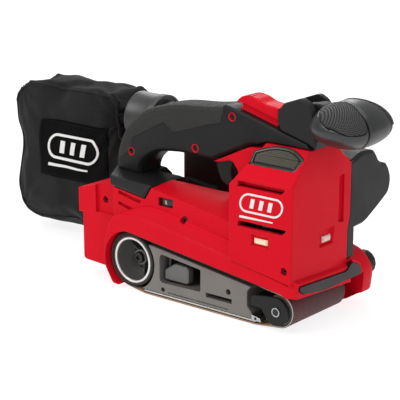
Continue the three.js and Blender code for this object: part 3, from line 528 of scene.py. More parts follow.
def make(name, shape, look, body, replaces=(), sharp=35.0, bevel=0.0):
    """One closed mesh piece that rides on a body and may stand for CAD nodes."""
    mesh = mesh_of(name, shape)
    shade(mesh, sharp)
    piece = placed(name, mesh)
    mesh.materials.append(look)
    if bevel:
        edges = piece.modifiers.new("bevel", "BEVEL")
        edges.width, edges.segments, edges.harden_normals = bevel * MM, 2, True
    return settle(piece, body, replaces)


def settle(piece, body, replaces=()):
    """Attaches a piece to the empty of the body it rides on and hides the CAD nodes it stands for."""
    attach(piece, body)
    if replaces:
        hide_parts(*replaces)
    return piece


def node_box(name):
    """Low and high corner of a CAD node, in mm."""
    return [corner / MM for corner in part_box(name)]


def lathe(profile, place, segments=96):
    """Solid turned from a closed profile; place(radius, along, angle) gives a point."""
    rings = [[place(r, along, a) for r, along in profile] for a in turns(segments)]
    return loft(rings, closed=True)


def about_y(x, z):
    """Places lathe points round the line along Y through (x, z)."""
    return lambda r, along, a: (x + r * cos(a), along, z + r * sin(a))


def about_x(y, z):
    """Places lathe points round the line along X through (y, z)."""
    return lambda r, along, a: (along, y + r * cos(a), z + r * sin(a))


def block(x0, x1, y0, y1, z0, z1):
    return loft([[(x, y0, z0), (x, y1, z0), (x, y1, z1), (x, y0, z1)] for x in (x0, x1)])


def moved(shape, matrix):
    points, faces = shape
    return [tuple(matrix @ Vector(p)) for p in points], faces


def smoothstep(value, low, high):
    t = min(1.0, max(0.0, (value - low) / (high - low)))
    return t * t * (3 - 2 * t)


# ---- sanding belt
def taut_path(edge=2.0, count=240):
    """Points (x, z) of the inside of the loop, round both drums and the ends of the platen."""
    circles = [(DRUM["x"], DRUM["z"], DRUM["r"]), (IDLER["x"], IDLER["z"], IDLER["r"]),
               (PLATEN_REAR, BELT_THICK + edge, edge), (PLATEN_FRONT, BELT_THICK + edge, edge)]
    cloud = sorted({(round(x + r * cos(a), 6), round(z + r * sin(a), 6))
                    for x, z, r in circles for a in turns(count)})

    def chain(points):
        """Half of the convex hull of sorted points."""
        hull = []
        for p in points:
            while len(hull) > 1 and ((hull[-1][0] - hull[-2][0]) * (p[1] - hull[-2][1])
                                     <= (hull[-1][1] - hull[-2][1]) * (p[0] - hull[-2][0])):
                hull.pop()
            hull.append(p)
        return hull[:-1]

    return chain(cloud) + chain(cloud[::-1])


def resampled(path, step):
    """The closed path with long runs split, so that every edge is at most one step long."""
    out = []
    for (x0, z0), (x1, z1) in zip(path, path[1:] + path[:1]):
        parts = max(1, ceil(hypot(x1 - x0, z1 - z0) / step))
        out.extend((x0 + (x1 - x0) * i / parts, z0 + (z1 - z0) * i / parts) for i in range(parts))
    return out


def outward(path):
    """Unit normals (x, z) of a closed path that runs anticlockwise."""
    normals = []
    for i in range(len(path)):
        (x0, z0), (x1, z1) = path[i - 1], path[(i + 1) % len(path)]
        length = hypot(x1 - x0, z1 - z0)
        normals.append(((z1 - z0) / length, -(x1 - x0) / length))
    return normals


def belt_loop(inner, outer, half):
    """One layer of the belt, between two offsets from the taut path."""
    path = resampled(taut_path(), 3.0)
    corners = [(inner, -half), (outer, -half), (outer, half), (inner, half)]
    rows = []
    for (x, z), (nx, nz) in zip(path, outward(path)):
        rows.append([(x + nx * d, y, z + nz * d) for d, y in corners])
    return loft(rows, closed=True)


def add_belt(looks):
    half = BELT_WIDTH / 2
    make("belt_backing", belt_loop(0.0, BACKING_THICK, half), looks["backing"], "body",
         replaces=["sanding_belt"])
    make("belt_abrasive", belt_loop(BACKING_THICK, BELT_THICK, half - 0.25), looks["abrasive"],
         "body")


# ---- drive drum
RIM = 21.4


def drum_rib(turn):
    """One of the ribs between the hub and the rim of the cup."""
    place = Matrix.Translation((DRUM["x"], 0, DRUM["z"])) @ Matrix.Rotation(-turn, 4, "Y")
    return moved(block(7.0, RIM - 2.5, -22, -9, -0.7, 0.7), place)


def add_drum(looks):
    """Bright rim, grey cup with ribs and rubber tyre; the profiles are (radius, Y)."""
    y_axis = about_y(DRUM["x"], DRUM["z"])
    half = BELT_WIDTH / 2
    rim = [(RIM - 2.2, -36.2), (RIM - 2.2, -37.4), (RIM - 1.8, -37.9), (RIM - 0.4, -37.9),
           (RIM, -37.5), (RIM, 37.4), (RIM - 0.3, 37.7), (RIM - 3, 37.7), (RIM - 3, 37.0),
           (RIM - 2.2, 20)]
    make("drum_rim", lathe(rim, y_axis), looks["silver"], "drum",
         replaces=["drive_drum"])
    cup = [(5, -26.6), (5.4, -27), (7.0, -27), (7.4, -26.6), (7.4, -12), (9, -10.6),
           (RIM - 5, -8.6), (RIM - 3.2, -10), (RIM - 2.3, -13), (RIM - 2.3, -36.4),
           (RIM - 2.25, -36.4), (RIM - 2.25, 20), (RIM - 3, 20.4), (9, 16), (9, 34), (5, 34)]
    make("drum_cup", lathe(cup, y_axis), looks["cup"], "drum")
    for i, turn in enumerate(turns(3)):
        make(f"drum_rib_{i + 1}", drum_rib(turn + 0.5), looks["cup"], "drum",
             bevel=0.3)
    tyre = [(RIM + 0.1, -half + 0.9), (RIM + 0.5, -half + 0.4), (RIM + 1.2, -half + 0.35),
            (RIM + 1.35, -half + 0.7), (RIM + 1.5, -half + 0.35), (23.4, -half + 0.4),
            (24.0, -half + 1.0), (24.2, -half + 1.8), (24.2, half - 1.8), (23.8, half - 0.8),
            (RIM + 0.4, half - 0.5), (RIM + 0.1, half - 0.9)]
    make("drum_tyre_ring", lathe(tyre, y_axis, 128), looks["tyre"], "drum",
         replaces=["drum_tyre"])
    add_hub_bolt(looks)


def screw_head(radius, recess, height, segments=48):
    """Domed screw head about +Z with a six-lobed recess; it stands on z = 0."""
    angles = turns(segments)

    def round_ring(share, z):
        r = radius * share
        return [(r * cos(a), r * sin(a), z) for a in angles]

    def lobed_ring(share, z):
        reach = [recess * share * (1 + 0.17 * cos(6 * a)) for a in angles]
        return [(r * cos(a), r * sin(a), z) for r, a in zip(reach, angles)]

    return loft([
        round_ring(1.0, 0.0), round_ring(1.0, height * 0.55), round_ring(0.93, height * 0.85),
        round_ring(0.78, height), lobed_ring(1.12, height), lobed_ring(1.0, height - 0.15),
        lobed_ring(1.0, height * 0.4),
    ])


def facing_near(x, y, z):
    """Stands a shape made about +Z on the near side, looking towards -Y."""
    return Matrix.Translation((x, y, z)) @ Matrix.Rotation(pi / 2, 4, "X")


def add_axle_ring(looks):
    """Retaining ring round the near end of the idler's axle."""
    profile = [(3.0, -42.6), (3.0, -43.3), (3.3, -43.5), (3.8, -43.5), (4.1, -43.3), (4.1, -42.6)]
    ring = lathe(profile, about_y(IDLER["x"], IDLER["z"]), 64)
    make("axle_ring", ring, looks["steel"], "fork")


def add_hub_bolt(looks):
    low, high = node_box("drum_bolt")
    head = screw_head((high.x - low.x) / 2, 2.1, high.y - low.y)
    face = facing_near(DRUM["x"], high.y, DRUM["z"])
    make("hub_bolt", moved(head, face), looks["dark_steel"], "drum",
         replaces=["drum_bolt"])


SHELL_SCREWS = ["screw_deck", "screw_nose", "screw_rear"]
HANDLE_SCREWS = ["screw_handle_rear", "screw_handle_front", "screw_handle_low"]


def add_screw(name, look):
    """Screw head in the box of its CAD node; returns the middle of that box."""
    low, high = node_box(name)
    middle, radius = (low + high) / 2, (high.x - low.x) / 2
    head = screw_head(radius, radius * 0.44, high.y - low.y)
    face = facing_near(middle.x, high.y, middle.z)
    make(name + "_head", moved(head, face), look, "body", replaces=[name])
    return middle


def add_screws(looks):
    """Heads of the shell and handle screws; those in the handle stand in red liners."""
    for name in SHELL_SCREWS:
        # shell screw heads: steel with painted shade and a painted red reflection
        add_screw(name, looks["shaded_steel"])
    liner = [(2.95, -16.6), (3.2, -17.0), (3.8, -17.0), (3.8, -14.1), (2.95, -14.1)]
    for name in HANDLE_SCREWS:
        middle = add_screw(name, looks["dark_steel"])
        make(name + "_liner", lathe(liner, about_y(middle.x, middle.z), 48), looks["red"], "body")


# ---- palm grip
# The grip is a rounded body: powers of its outline in plan and from the side.
PLAN_POWER, SIDE_POWER = 2.47, 1.86
# End of the pads as a share of the half width, gap from the seam, and power of their outline.
PAD_END, PAD_GAP, PAD_POWER = 0.975, 0.2, 4.4
PAD_TIP = 0.012
# Seam beside each pad: it runs SEAM_OUT from the middle plane and curves in to SEAM_IN.
SEAM_ANGLE, SEAM_OUT, SEAM_IN, SEAM_CURVE = 0.21, 16.3, 8.2, 4.1


def knob_point(angle, share, grow):
    """Point of the palm grip: angle about Y, share of the half width from -1 to 1."""
    c, s, y = abs(cos(angle)), abs(sin(angle)), abs(share)
    low, high = 0.0, 1.0
    for _ in range(26):
        t = (low + high) / 2
        plan = ((t * c) ** PLAN_POWER + y ** PLAN_POWER) ** (SIDE_POWER / PLAN_POWER)
        if plan + (t * s) ** SIDE_POWER < 1:
            low = t
        else:
            high = t
    height = (KNOB["up"] if sin(angle) > 0 else KNOB["down"]) + grow
    return Vector((KNOB["x"] + (KNOB["length"] + grow) * low * cos(angle),
                   (KNOB["width"] + grow) * share,
                   KNOB["z"] + height * low * sin(angle)))


def seam_y(angle):
    """Distance from the middle plane to the seam beside a pad, at an angle round the grip."""
    return max(SEAM_IN, SEAM_OUT - SEAM_CURVE * (angle - SEAM_ANGLE) ** 2)


def pad_arc(p):
    """First and last angle of the pad, at p from -1 at the seam to 1 at the end of the grip."""
    return 0.05 - 0.05 * (p + 1), 2.42 - 0.06 * (p + 1)


def pad_frame(side):
    """Place of the pad on the grip: p and q run from -1 to 1 along Y and round the grip."""
    def place(p, q, grow):
        low, high = pad_arc(p)
        angle = low + (high - low) * (q + 1) / 2
        start = seam_y(angle) + PAD_GAP
        y = start + (p + 1) / 2 * (KNOB["width"] * PAD_END - start)
        return knob_point(angle, side * y / KNOB["width"], grow)

    return place


def squircle(count, power=PAD_POWER):
    """Points (p, q) round a square with round sides."""
    corners = [(cos(a), sin(a)) for a in turns(count)]
    return [(copysign(abs(c) ** (2 / power), c), copysign(abs(s) ** (2 / power), s))
            for c, s in corners]


def knob_pad(side, spokes=120, steps=32):
    """Soft pad with rolled edges, closed at the back."""
    place = pad_frame(side)
    outline = squircle(spokes)

    def ring(r, lift):
        return [tuple(place(p * r, q * r, lift)) for p, q in outline]

    rows = []
    for i in range(steps + 1):
        r = max(PAD_TIP, i / steps)
        rows.append(ring(r, 0.8 - 2.4 * smoothstep(r, 0.94, 1.0) ** 2))
    rows.extend(ring(r, -1.9) for r in (0.96, 0.5, PAD_TIP))
    return loft(rows)


def pad_depth(angle, y):
    """How deep the grip is sunk under its pads at an angle and a place along Y."""
    start = seam_y(angle) + PAD_GAP
    p = (abs(y) - start) / (KNOB["width"] * PAD_END - start) * 2 - 1
    if abs(p) > 1.02:
        return 0.0
    low, high = pad_arc(p)
    q = (angle - low) / (high - low) * 2 - 1
    r = (abs(p) ** PAD_POWER + abs(q) ** PAD_POWER) ** (1 / PAD_POWER)
    return 1.5 * (1 - smoothstep(r, 0.99, 1.025))


def seam_depth(angle, y):
    """Depth of the groove beside the pad and of the fine line that runs along it."""
    away = abs(y) - seam_y(angle)
    groove = 2.0 * max(0.0, 1 - abs(away))
    line = 0.25 * max(0.0, 1 - abs(away + 3.0) / 0.5)
    return groove + line


def knob_body(spokes=160):
    """The grip without its pads, in slices along Y that lie closer where the seam runs."""
    half = {round(KNOB["width"] * sin(radians(a)), 3) for a in np.linspace(0.0, 88.0, 45)}
    half |= {round(y, 3) for y in np.arange(4.6, 17.6, 0.3)}
    rows = []
    for y in sorted({side * y for y in half for side in (-1, 1)}):
        row = []
        for full in turns(spokes):
            angle = full - pi
            turn = angle if angle > -pi / 2 else angle + 2 * pi
            depth = seam_depth(turn, y) + pad_depth(turn, y)
            row.append(tuple(knob_point(angle, y / KNOB["width"], -depth)))
        rows.append(row)
    return loft(rows)


# Cuts for the arm: low and high x, y and z.
ARM_SLOTS = [(60, 101.8, -17, 17, 140, 220), (60, 116, -7.6, 7.6, 162, 220)]


def cut_knob(piece):
    """Opens the slot for the arm behind the grip, as in its CAD solid."""
    for i, size in enumerate(ARM_SLOTS):
        cutter = placed("slot", mesh_of("slot", block(*size)))
        carve = piece.modifiers.new(f"slot_{i}", "BOOLEAN")
        carve.operation, carve.solver, carve.object = "DIFFERENCE", "EXACT", cutter
        applied(piece)
        bpy.data.objects.remove(cutter)
    shade(piece.data)


def applied(piece):
    """Bakes the piece's modifiers into its mesh."""
    graph = bpy.context.evaluated_depsgraph_get()
    mesh = bpy.data.meshes.new_from_object(piece.evaluated_get(graph))
    piece.modifiers.clear()
    piece.data = mesh


def add_knob(looks):
    grip = make("palm_grip", knob_body(), looks["knob"], "front_handle",
                replaces=["front_knob"])
    cut_knob(grip)
    for side, name in ((-1, "right"), (1, "left")):
        make(f"palm_pad_{name}", knob_pad(side), looks["knob_pad"], "front_handle",
             replaces=[f"knob_pad_{name}"])


# ---- shoulder pads
# Corners (u, v, radius) on the sloping shoulder, where that slope starts and how it rises, and
# the pitch of the dots on the inlay.
PAD_OUTLINE = [(-21, -0.6, 2), (25.8, -0.6, 2), (29.2, 12.6, 2), (15, 21, 10), (-5, 21.2, 10),
               (-22.8, 13, 3)]
SHOULDER = (67, -32.6, 138)
SLOPE_RISE, SLOPE_RUN = 16.5, 15
DOT_PITCH = 1.9


def rounded_outline(points, arc=6):
    """Closed (u, v) outline with its corners rounded by quadratic arcs."""
    out = []
    for i, (u, v, r) in enumerate(points):
        here = Vector((u, v))
        before = Vector(points[i - 1][:2]) - here
        after = Vector(points[(i + 1) % len(points)][:2]) - here
        reach = min(r, before.length * 0.42, after.length * 0.42)
        a, b = here + before.normalized() * reach, here + after.normalized() * reach
        for k in range(arc + 1):
            t = k / arc
            out.append(a * (1 - t) ** 2 + here * 2 * t * (1 - t) + b * t * t)
    return out


def inset(outline, distance):
    """The outline moved inwards along its corner bisectors."""
    out = []
    for i, p in enumerate(outline):
        a, b = p - outline[i - 1], outline[(i + 1) % len(outline)] - p
        a = a if a.length > 1e-6 else b
        b = b if b.length > 1e-6 else a
        normal = Vector((-a.y, a.x)).normalized() + Vector((-b.y, b.x)).normalized()
        out.append(p + normal.normalized() * distance)
    return out


def flat(u, v, height):
    return (u, v, height)


def terraced(outline, steps, place=flat):
    """Solid of insets of an outline; steps are (inset, height), place(u, v, height) a point."""
    return loft([[place(p.x, p.y, height) for p in inset(outline, d)] for d, height in steps])


def inside(p, outline):
    """Whether a point is inside a closed outline, by counting the edges beside it."""
    hit = False
    for i, b in enumerate(outline):
        a = outline[i - 1]
        if (a.y > p.y) != (b.y > p.y) and p.x < (b.x - a.x) * (p.y - a.y) / (b.y - a.y) + a.x:
            hit = not hit
    return hit


def shoulder_place(side):
    """Lays a pad on the slope between the tower's side and its top."""
    tilt = Matrix.Rotation(atan2(SLOPE_RISE, SLOPE_RUN), 4, "X")
    place = Matrix.Translation(SHOULDER) @ tilt
    return Matrix.Scale(-side, 4, (0, 1, 0)) @ place


def dome(x, y, z, radius, height, sides=8):
    levels = [(radius, -0.2), (radius * 0.92, height * 0.4), (radius * 0.4, height)]
    return loft([[(x + r * cos(a), y + r * sin(a), z + h) for a in turns(sides)]
                 for r, h in levels])


def dot_field(limit):
    """Domes in staggered rows, as far as they fit in an outline."""
    dots = []
    for row in range(-2, 16):
        for column in range(-20, 24):
            shift = (row % 2) * DOT_PITCH / 2
            p = Vector((column * DOT_PITCH + shift, row * DOT_PITCH * 0.866))
            if inside(p, limit):
                dots.append(dome(p.x, p.y, 0.55, 0.66, 0.75))
    return merged(dots)


def add_shoulder_pads(looks):
    """Glossy frame, inlay and dots of each pad; the steps are (inset, height)."""
    outline = rounded_outline(PAD_OUTLINE)
    rolled = [(0.0, -1.0), (0.0, 0.55), (0.5, 1.0), (2.2, 1.2), (2.9, 0.9), (3.1, 0.2), (3.1, -0.8)]
    rim = terraced(outline, rolled)
    inlay = terraced(outline, [(3.3, -0.7), (3.3, 0.35), (3.8, 0.55)])
    dots = dot_field(inset(outline, 4.3))
    for side, name in ((-1, "right"), (1, "left")):
        place = shoulder_place(side)
        make(f"shoulder_frame_{name}", moved(rim, place), looks["gloss"], "body",
             replaces=[f"shoulder_pad_{name}"])
        make(f"shoulder_inlay_{name}", moved(inlay, place), looks["olive"], "body",
             sharp=20)
        make(f"shoulder_dots_{name}", moved(dots, place), looks["dots"], "body",
             sharp=60)


# ---- lamps and dial
def add_lamp(name, look, along_x, columns=40, levels=8):
    """Lamp lens with a crowned front and pressed ribs, in the place of its CAD block."""
    low, high = node_box(name)
    start, end = (low.x, high.x) if along_x else (low.y, high.y)
    back, front = (high.y, low.y) if along_x else (low.x, high.x)
    rows = []
    for i in range(columns + 1):
        t = i / columns
        u = start + (end - start) * t
        rib = 1 - 0.056 * abs(sin(pi * 7 * t))
        edge = 1 - 0.75 * (2 * t - 1) ** 8
        section = []
        for k in range(levels + 1):
            share = k / levels
            crown = (0.55 + 0.45 * sin(pi * share) ** 0.5) * edge
            depth = back + (front - back) * crown * 0.97 * rib
            section.append((depth, low.z + (high.z - low.z) * share))
        section += [(back, high.z), (back, low.z)]
        rows.append([(u, d, z) if along_x else (d, u, z) for d, z in section])
    make(name + "_lens", loft(rows), look, "body", replaces=[name], sharp=60)


def add_lamps(looks):
    add_lamp("led_side", looks["lens_side"], True)
    add_lamp("led_front", looks["lens_front"], False)


def add_dial(looks):
    """Thumb wheel with a knurled band above and below its numbers."""
    low, high = node_box("speed_dial")
    teeth, segments = 48, 384
    radius = DIAL["r"] - 0.2

    def ring(z, shrink, knurl):
        points = []
        for a in turns(segments):
            r = radius - shrink - knurl * (0.5 - 0.5 * cos(teeth * a))
            points.append((DIAL["x"] + r * cos(a), DIAL["y"] + r * sin(a), z))
        return points

    z0, z1 = low.z, high.z
    rows = [ring(z0, 0.7, 0.0), ring(z0 + 0.4, 0.2, 0.3), ring(z0 + 1.3, 0.2, 0.3),
            ring(z0 + 1.5, 0.25, 0.0), ring(z1 - 1.5, 0.25, 0.0), ring(z1 - 1.3, 0.2, 0.3),
            ring(z1 - 0.4, 0.2, 0.3), ring(z1, 0.7, 0.0)]
    make("dial_wheel", loft(rows), looks["gloss"], "dial",
         replaces=["speed_dial"], sharp=40)
    for number in range(1, 7):
        add_digit(looks, number, radians(-90 + (number - 5) * 50), (z0 + z1) / 2)


def add_digit(looks, number, angle, z):
    """Moulded white number on the rim of the dial."""
    curve = bpy.data.curves.new(f"dial_number_{number}", "FONT")
    curve.body = str(number)
    curve.size, curve.extrude = 4.6 * MM, 0.05 * MM
    curve.align_x, curve.align_y = "CENTER", "CENTER"
    text = placed(f"dial_text_{number}", curve)
    bpy.context.view_layer.update()
    mesh = bpy.data.meshes.new_from_object(text)
    bpy.data.objects.remove(text)
    out = Vector((cos(angle), sin(angle), 0))
    right = Vector((-out.y, out.x, 0))
    turn = Matrix((right, Vector((0, 0, 1)), out)).transposed().to_4x4()
    centre = Vector((DIAL["x"], DIAL["y"], z)) * MM + out * (DIAL["r"] - 0.42) * MM
    mesh.transform(Matrix.Translation(centre) @ turn)
    mesh.materials.clear()
    mesh.materials.append(looks["ink"])
    settle(placed(f"dial_number_{number}", mesh), "dial")


# ---- marks
# Width that the mark is drawn at, and how far it leans for each unit of height.
MARK_WIDTH, MARK_LEAN = 40.0, 0.22


def even(start, end, parts):
    return [start + (end - start) * i / parts for i in range(parts + 1)]


def pill(reach, radius):
    """Outline of two half circles, joined by straight lines."""
    arc = even(-pi / 2, pi / 2, 24)
    right = [(reach + radius * cos(a), radius * sin(a)) for a in arc]
    return [*right, *((-u, -v) for u, v in right)]


def printed_mark(place, lift, width):
    """Generic mark: three leaning bars in a pill-shaped ring, with a tapered line under it."""
    scale = width / MARK_WIDTH

    def strip(left, right, closed=False):
        """Raised band between two rows of points."""
        def put(point, h):
            return place(scale * (point[0] + MARK_LEAN * point[1]), scale * point[1], h)

        return loft([[put(a, 0.0), put(b, 0.0), put(b, lift), put(a, lift)]
                     for a, b in zip(left, right)], closed)

    parts = [strip(pill(12.0, 7.4), pill(12.0, 5.9), closed=True)]
    for middle in (-8.0, 0.0, 8.0):
        heights = even(-3.6, 3.6, 12)
        parts.append(strip([(middle - 1.7, v) for v in heights], [(middle + 1.7, v) for v in heights]))
    along = even(-17.0, 13.0, 30)
    parts.append(strip([(u, -10.4) for u in along],
                       [(u, -10.5 - 1.7 * (1 - (u + 17) / 60)) for u in along]))
    return merged(parts)


def add_tower_mark(looks):
    def place(u, v, h):
        return (68.5 + u, -46.02 - h, 109.0 + v)

    make("tower_mark", printed_mark(place, 0.18, 46.0), looks["ink"], "body")


# ---- dust bag
# Corners (x, z, radius) of the bag seen from the side, and where its two panels lie along Y.
BAG_SIDE = [(-317, 30, 18), (-317, 141, 28), (-296, 156, 28), (-206, 156, 30), (-176, 153, 10),
            (-172, 128, 16), (-163, 96, 14), (-161, 34, 16), (-176, 14, 18), (-305, 13, 24)]
BAG_Y = (46.0, 94.0)
BAG_NECK = Vector((-168.0, SPOUT["y"], SPOUT["z"]))
BAG_CREASES = ((-309, 146), (-309, 22), (-176, 20))
# Mesh size of the cloth, how far it may swell, and for how many frames it does.
VOXEL, SWELL, SWELL_FRAMES = 5.0, 7.0, 20


def bag_block():
    low, high = BAG_Y
    steps = [(10, low), (5, low + 1.5), (1.2, low + 5), (0, low + 11), (0, high - 11),
             (1.2, high - 5), (5, high - 1.5), (10, high)]
    return terraced(rounded_outline(BAG_SIDE, 8), steps, lambda x, z, y: (x, y, z))


def wrinkle(point, normal):
    """Offset of a cloth point: folds fanning out from the neck, and soft slack in the panels."""
    p = point / MM
    away = p - BAG_NECK
    fan = atan2(away.z, -away.x)
    folds = sin(fan * 15 + 2.5 * noise.noise(p * 0.03)) * exp(-away.length / 46.0) * 2.6
    creases = 0.0
    for x, z in BAG_CREASES:
        d = hypot(p.x - x, p.z - z)
        a = atan2(p.z - z, p.x - x)
        creases += sin(a * 11) * exp(-d / 26.0) * 1.3
    long_way = Vector((p.x * 0.035, p.y * 0.02, p.z * 0.012))
    drape = 1.5 * noise.noise(long_way + Vector((7.0, 2.0, 5.0)))
    slack = 0.7 * noise.noise(p * 0.07)
    return normal * (folds + creases + drape + slack) * MM


def inflate(piece, most):
    """Swells the closed bag with the Cloth solver and limits how far each point may go."""
    start = np.array([v.co for v in piece.data.vertices])
    cloth = piece.modifiers.new("swell", "CLOTH")
    settings = cloth.settings
    settings.quality = 6
    settings.use_pressure = True
    settings.uniform_pressure_force = 3.2
    settings.effector_weights.gravity = 0.0
    settings.tension_stiffness = 30
    settings.compression_stiffness = 8
    settings.bending_stiffness = 1.2
    cloth.collision_settings.use_collision = False
    scene = bpy.context.scene
    for step in range(SWELL_FRAMES):
        scene.frame_set(step + 1)
    applied(piece)
    scene.frame_set(1)
    for v, rest in zip(piece.data.vertices, start):
        move = v.co - Vector(rest)
        if move.length > most * MM:
            v.co = Vector(rest) + move.normalized() * most * MM


def bag_skin(looks):
    """The closed bag: swollen, wrinkled, and kept within the reach of its CAD solid."""
    piece = make("bag_cloth", bag_block(), looks["fabric"], "bag", replaces=["dust_bag"])
    remesh = piece.modifiers.new("remesh", "REMESH")
    remesh.mode, remesh.voxel_size = "VOXEL", VOXEL * MM
    applied(piece)
    inflate(piece, SWELL)
    fine = piece.modifiers.new("fine", "SUBSURF")
    fine.levels = fine.render_levels = 1
    applied(piece)
    mesh = piece.data
    normals = [v.normal.copy() for v in mesh.vertices]
    low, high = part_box("dust_bag")
    for v, n in zip(mesh.vertices, normals):
        v.co += wrinkle(v.co, n)
        v.co.x = min(max(v.co.x, low.x - 0.5 * MM), high.x)
        v.co.y = max(v.co.y, low.y - 1.5 * MM)
    mesh.materials.clear()
    mesh.materials.append(looks["fabric"])
    mesh.shade_smooth()
    return piece


def tree_of(piece):
    """Search tree for points on a piece's surface."""
    mesh = piece.data
    faces = [tuple(face.vertices) for face in mesh.polygons]
    return BVHTree.FromPolygons([v.co for v in mesh.vertices], faces)


def tube(path, radius, sides=10, closed=True):
    """Round tube along a path of Vectors."""
    rings = []
    count = len(path)
    normal = Vector((0, 1, 0))
    for i, p in enumerate(path):
        ahead = path[(i + 1) % count] if closed or i + 1 < count else p
        behind = path[i - 1] if closed or i > 0 else p
        along = (ahead - behind).normalized()
        normal = (normal - along * normal.dot(along)).normalized()
        side = along.cross(normal)
        rings.append([tuple(p + (normal * cos(a) + side * sin(a)) * radius)
                      for a in turns(sides)])
    return loft(rings, closed)


def seam_path(tree, outline, y, pull=0.1):
    """The seam round one edge of the bag, laid on the cloth and smoothed."""
    path = []
    for x, z in outline:
        place, normal, _, _ = tree.find_nearest(Vector((x, y, z)) * MM)
        path.append(place / MM - normal * pull)
    for _ in range(3):
        path = [(path[i - 1] + path[i] * 2 + path[(i + 1) % len(path)]) / 4 for i in range(len(path))]
    return path


def add_bag(looks):
    skin = bag_skin(looks)
    tree = tree_of(skin)
    outline = resampled([tuple(p) for p in rounded_outline(BAG_SIDE, 8)], 3.0)
    for y, name in ((BAG_Y[0] - 3.0, "near"), (BAG_Y[1] + 3.0, "far")):
        make(f"bag_piping_{name}", tube(seam_path(tree, outline, y), 1.25), looks["piping"], "bag")
    add_patch(looks, tree)


def on_bag(tree, u, v, h):
    """Point on the near panel of the bag at (x, z) = (u, v), lifted by h."""
    hit, normal, _, _ = tree.ray_cast(Vector((u, -200, v)) * MM, Vector((0, 1, 0)))
    return tuple(hit / MM + normal * h)


# Label: its rear and front x and its low and high z, the cells of its grid, how far two of its
# corners are cut off, and how far its stitches lie from its edge.
PATCH = (-277.0, -182.0, 62.0, 122.0)
PATCH_COLUMNS, PATCH_ROWS = 42, 32
CLIPPED = 0.09
HEM, STITCH = 2.6, 3.0


def patch_grid(tree, lift):
    """Rows of points on the bag under the label, each lifted by lift(column, row)."""
    u0, u1, v0, v1 = PATCH

    def point(i, j):
        s, t = 2 * i / PATCH_COLUMNS - 1, 2 * j / PATCH_ROWS - 1
        pull = 1 - CLIPPED * max(0.0, -s * t) ** 3
        u, v = (u0 + u1 + s * pull * (u1 - u0)) / 2, (v0 + v1 + t * pull * (v1 - v0)) / 2
        return on_bag(tree, u, v, lift(i, j))

    return [point(i, j) for j in range(PATCH_ROWS + 1) for i in range(PATCH_COLUMNS + 1)]


def hem_lift(i, j):
    """Height of the label over the cloth: a folded hem inside a thin edge."""
    scale = PATCH_COLUMNS / PATCH_ROWS
    edge = min(i, PATCH_COLUMNS - i, j * scale, (PATCH_ROWS - j) * scale)
    return 0.9 + (0.35 if 0.5 < edge < 2.2 else 0.0) - (0.4 if edge < 0.5 else 0.0)


def patch_sheet(tree):
    """Closed sheet that follows the cloth, with its back sunk into it."""
    width = PATCH_COLUMNS + 1
    back = width * (PATCH_ROWS + 1)
    points = patch_grid(tree, hem_lift) + patch_grid(tree, lambda i, j: -0.6)
    faces = []
    for j in range(PATCH_ROWS):
        for i in range(PATCH_COLUMNS):
            a = j * width + i
            faces.append((a, a + 1, a + width + 1, a + width))
            faces.append((back + a, back + a + width, back + a + width + 1, back + a + 1))
    last = PATCH_ROWS * width
    rim = [*range(width), *range(2 * width - 1, last + width, width)]
    rim += [*range(last + PATCH_COLUMNS - 1, last - 1, -1), *range(last - width, 0, -width)]
    for a, b in zip(rim, rim[1:] + rim[:1]):
        faces.append((a, b, back + b, back + a))
    return points, faces


def patch_stitches(tree):
    """Short threads in a row along the hem of the label."""
    u0, u1, v0, v1 = PATCH
    corners = [Vector((u0 + HEM, v0 + HEM)), Vector((u1 - HEM, v0 + HEM)),
               Vector((u1 - HEM, v1 - HEM)), Vector((u0 + HEM, v1 - HEM))]
    threads = []
    for a, b in zip(corners, corners[1:] + corners[:1]):
        count = int((b - a).length / STITCH)
        for i in range(count):
            ends = [a.lerp(b, (i + t) / count) for t in (0.15, 0.4, 0.6)]
            path = [Vector(on_bag(tree, p.x, p.y, h)) for p, h in zip(ends, (0.95, 1.25, 0.95))]
            threads.append(tube(path, 0.22, 6, closed=False))
    return merged(threads)


def add_patch(looks, tree):
    """Label sewn to the bag, with its stitches and the mark on it."""
    make("bag_patch", patch_sheet(tree), looks["patch"], "bag", sharp=60)
    make("patch_stitches", patch_stitches(tree), looks["piping"], "bag")
    u0, u1, v0, v1 = PATCH

    def place(u, v, h):
        return on_bag(tree, (u0 + u1) / 2 + 1 + u, (v0 + v1) / 2 + 3 + v, 1.5 + h)

    make("bag_mark", printed_mark(place, 0.5, 72.0), looks["ink"], "bag")


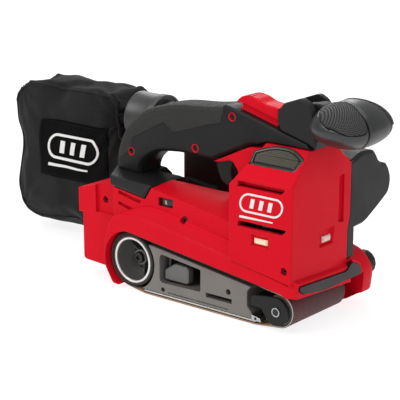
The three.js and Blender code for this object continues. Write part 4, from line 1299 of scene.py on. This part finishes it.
def add_collar(looks):
    """Ribbed rubber sleeve that joins the bag to the spigot; the profile is (radius, x)."""
    low, high = node_box("dust_collar")
    x0, x1 = low.x, high.x
    profile = [(19.5, x0), (24.0, x0), (24.6, x0 + 0.6), (24.8, x0 + 2.6), (24.1, x0 + 4),
               (24.1, x1 - 9), (24.9, x1 - 8.2), (24.9, x1 - 1), (24.4, x1 - 0.2), (22.6, x1),
               (22.2, x1 - 1.6), (20.4, x1 - 1.6), (20.0, x1), (19.5, x1)]
    make("bag_collar", lathe(profile, about_x(SPOUT["y"], SPOUT["z"])), looks["collar"], "collar",
         replaces=["dust_collar"])


# ---- stage
FLOOR_HALF, FLOOR_Z = 6.0, -0.0006
# Place, width, power and target of each lamp, in metres and watts.
LIGHTS = {
    "key": ((-0.7, -1.5, 1.7), 1.3, 25, (0.0, 0.0, 0.08)),
    "fill": ((1.9, -0.9, 0.9), 1.5, 9, (0.0, 0.0, 0.08)),
    "top": ((0.1, 0.3, 2.0), 1.6, 17, (0.0, 0.0, 0.1)),
    "rim": ((-1.2, 1.4, 1.1), 1.0, 10, (-0.05, 0.0, 0.1)),
}


def add_floor():
    """White paper under the tool."""
    mesh = bpy.data.meshes.new("floor")
    corners = [(-1, -1), (1, -1), (1, 1), (-1, 1)]
    mesh.from_pydata([(FLOOR_HALF * x, FLOOR_HALF * y, FLOOR_Z) for x, y in corners],
                     [], [(0, 1, 2, 3)])
    placed("floor", mesh)
    paper = Look("floor_paper", "8c8c8c", 0.9, Emission_Color=(1, 1, 1, 1), Emission_Strength=0.82)
    mesh.materials.append(paper.done())


def add_stage():
    """Floor, white surroundings and four area lamps."""
    scene = bpy.context.scene
    scene.view_settings.view_transform = "Standard"
    add_floor()
    world = bpy.data.worlds.new("studio")
    world.use_nodes = True
    background = world.node_tree.nodes["Background"]
    background.inputs["Color"].default_value = (1, 1, 1, 1)
    background.inputs["Strength"].default_value = 0.44
    scene.world = world
    for name, (place, width, power, aim) in LIGHTS.items():
        data = bpy.data.lights.new(name, "AREA")
        data.size, data.energy = width, power
        lamp = placed(name, data)
        lamp.location = place
        lamp.rotation_euler = (Vector(aim) - Vector(place)).to_track_quat("-Z", "Y").to_euler()


add_camera()
LOOKS = make_looks()
for add in (dress_cad, add_belt, add_drum, add_axle_ring, add_screws, add_knob, add_shoulder_pads,
            add_lamps, add_dial, add_tower_mark, add_bag, add_collar):
    add(LOOKS)
add_stage()
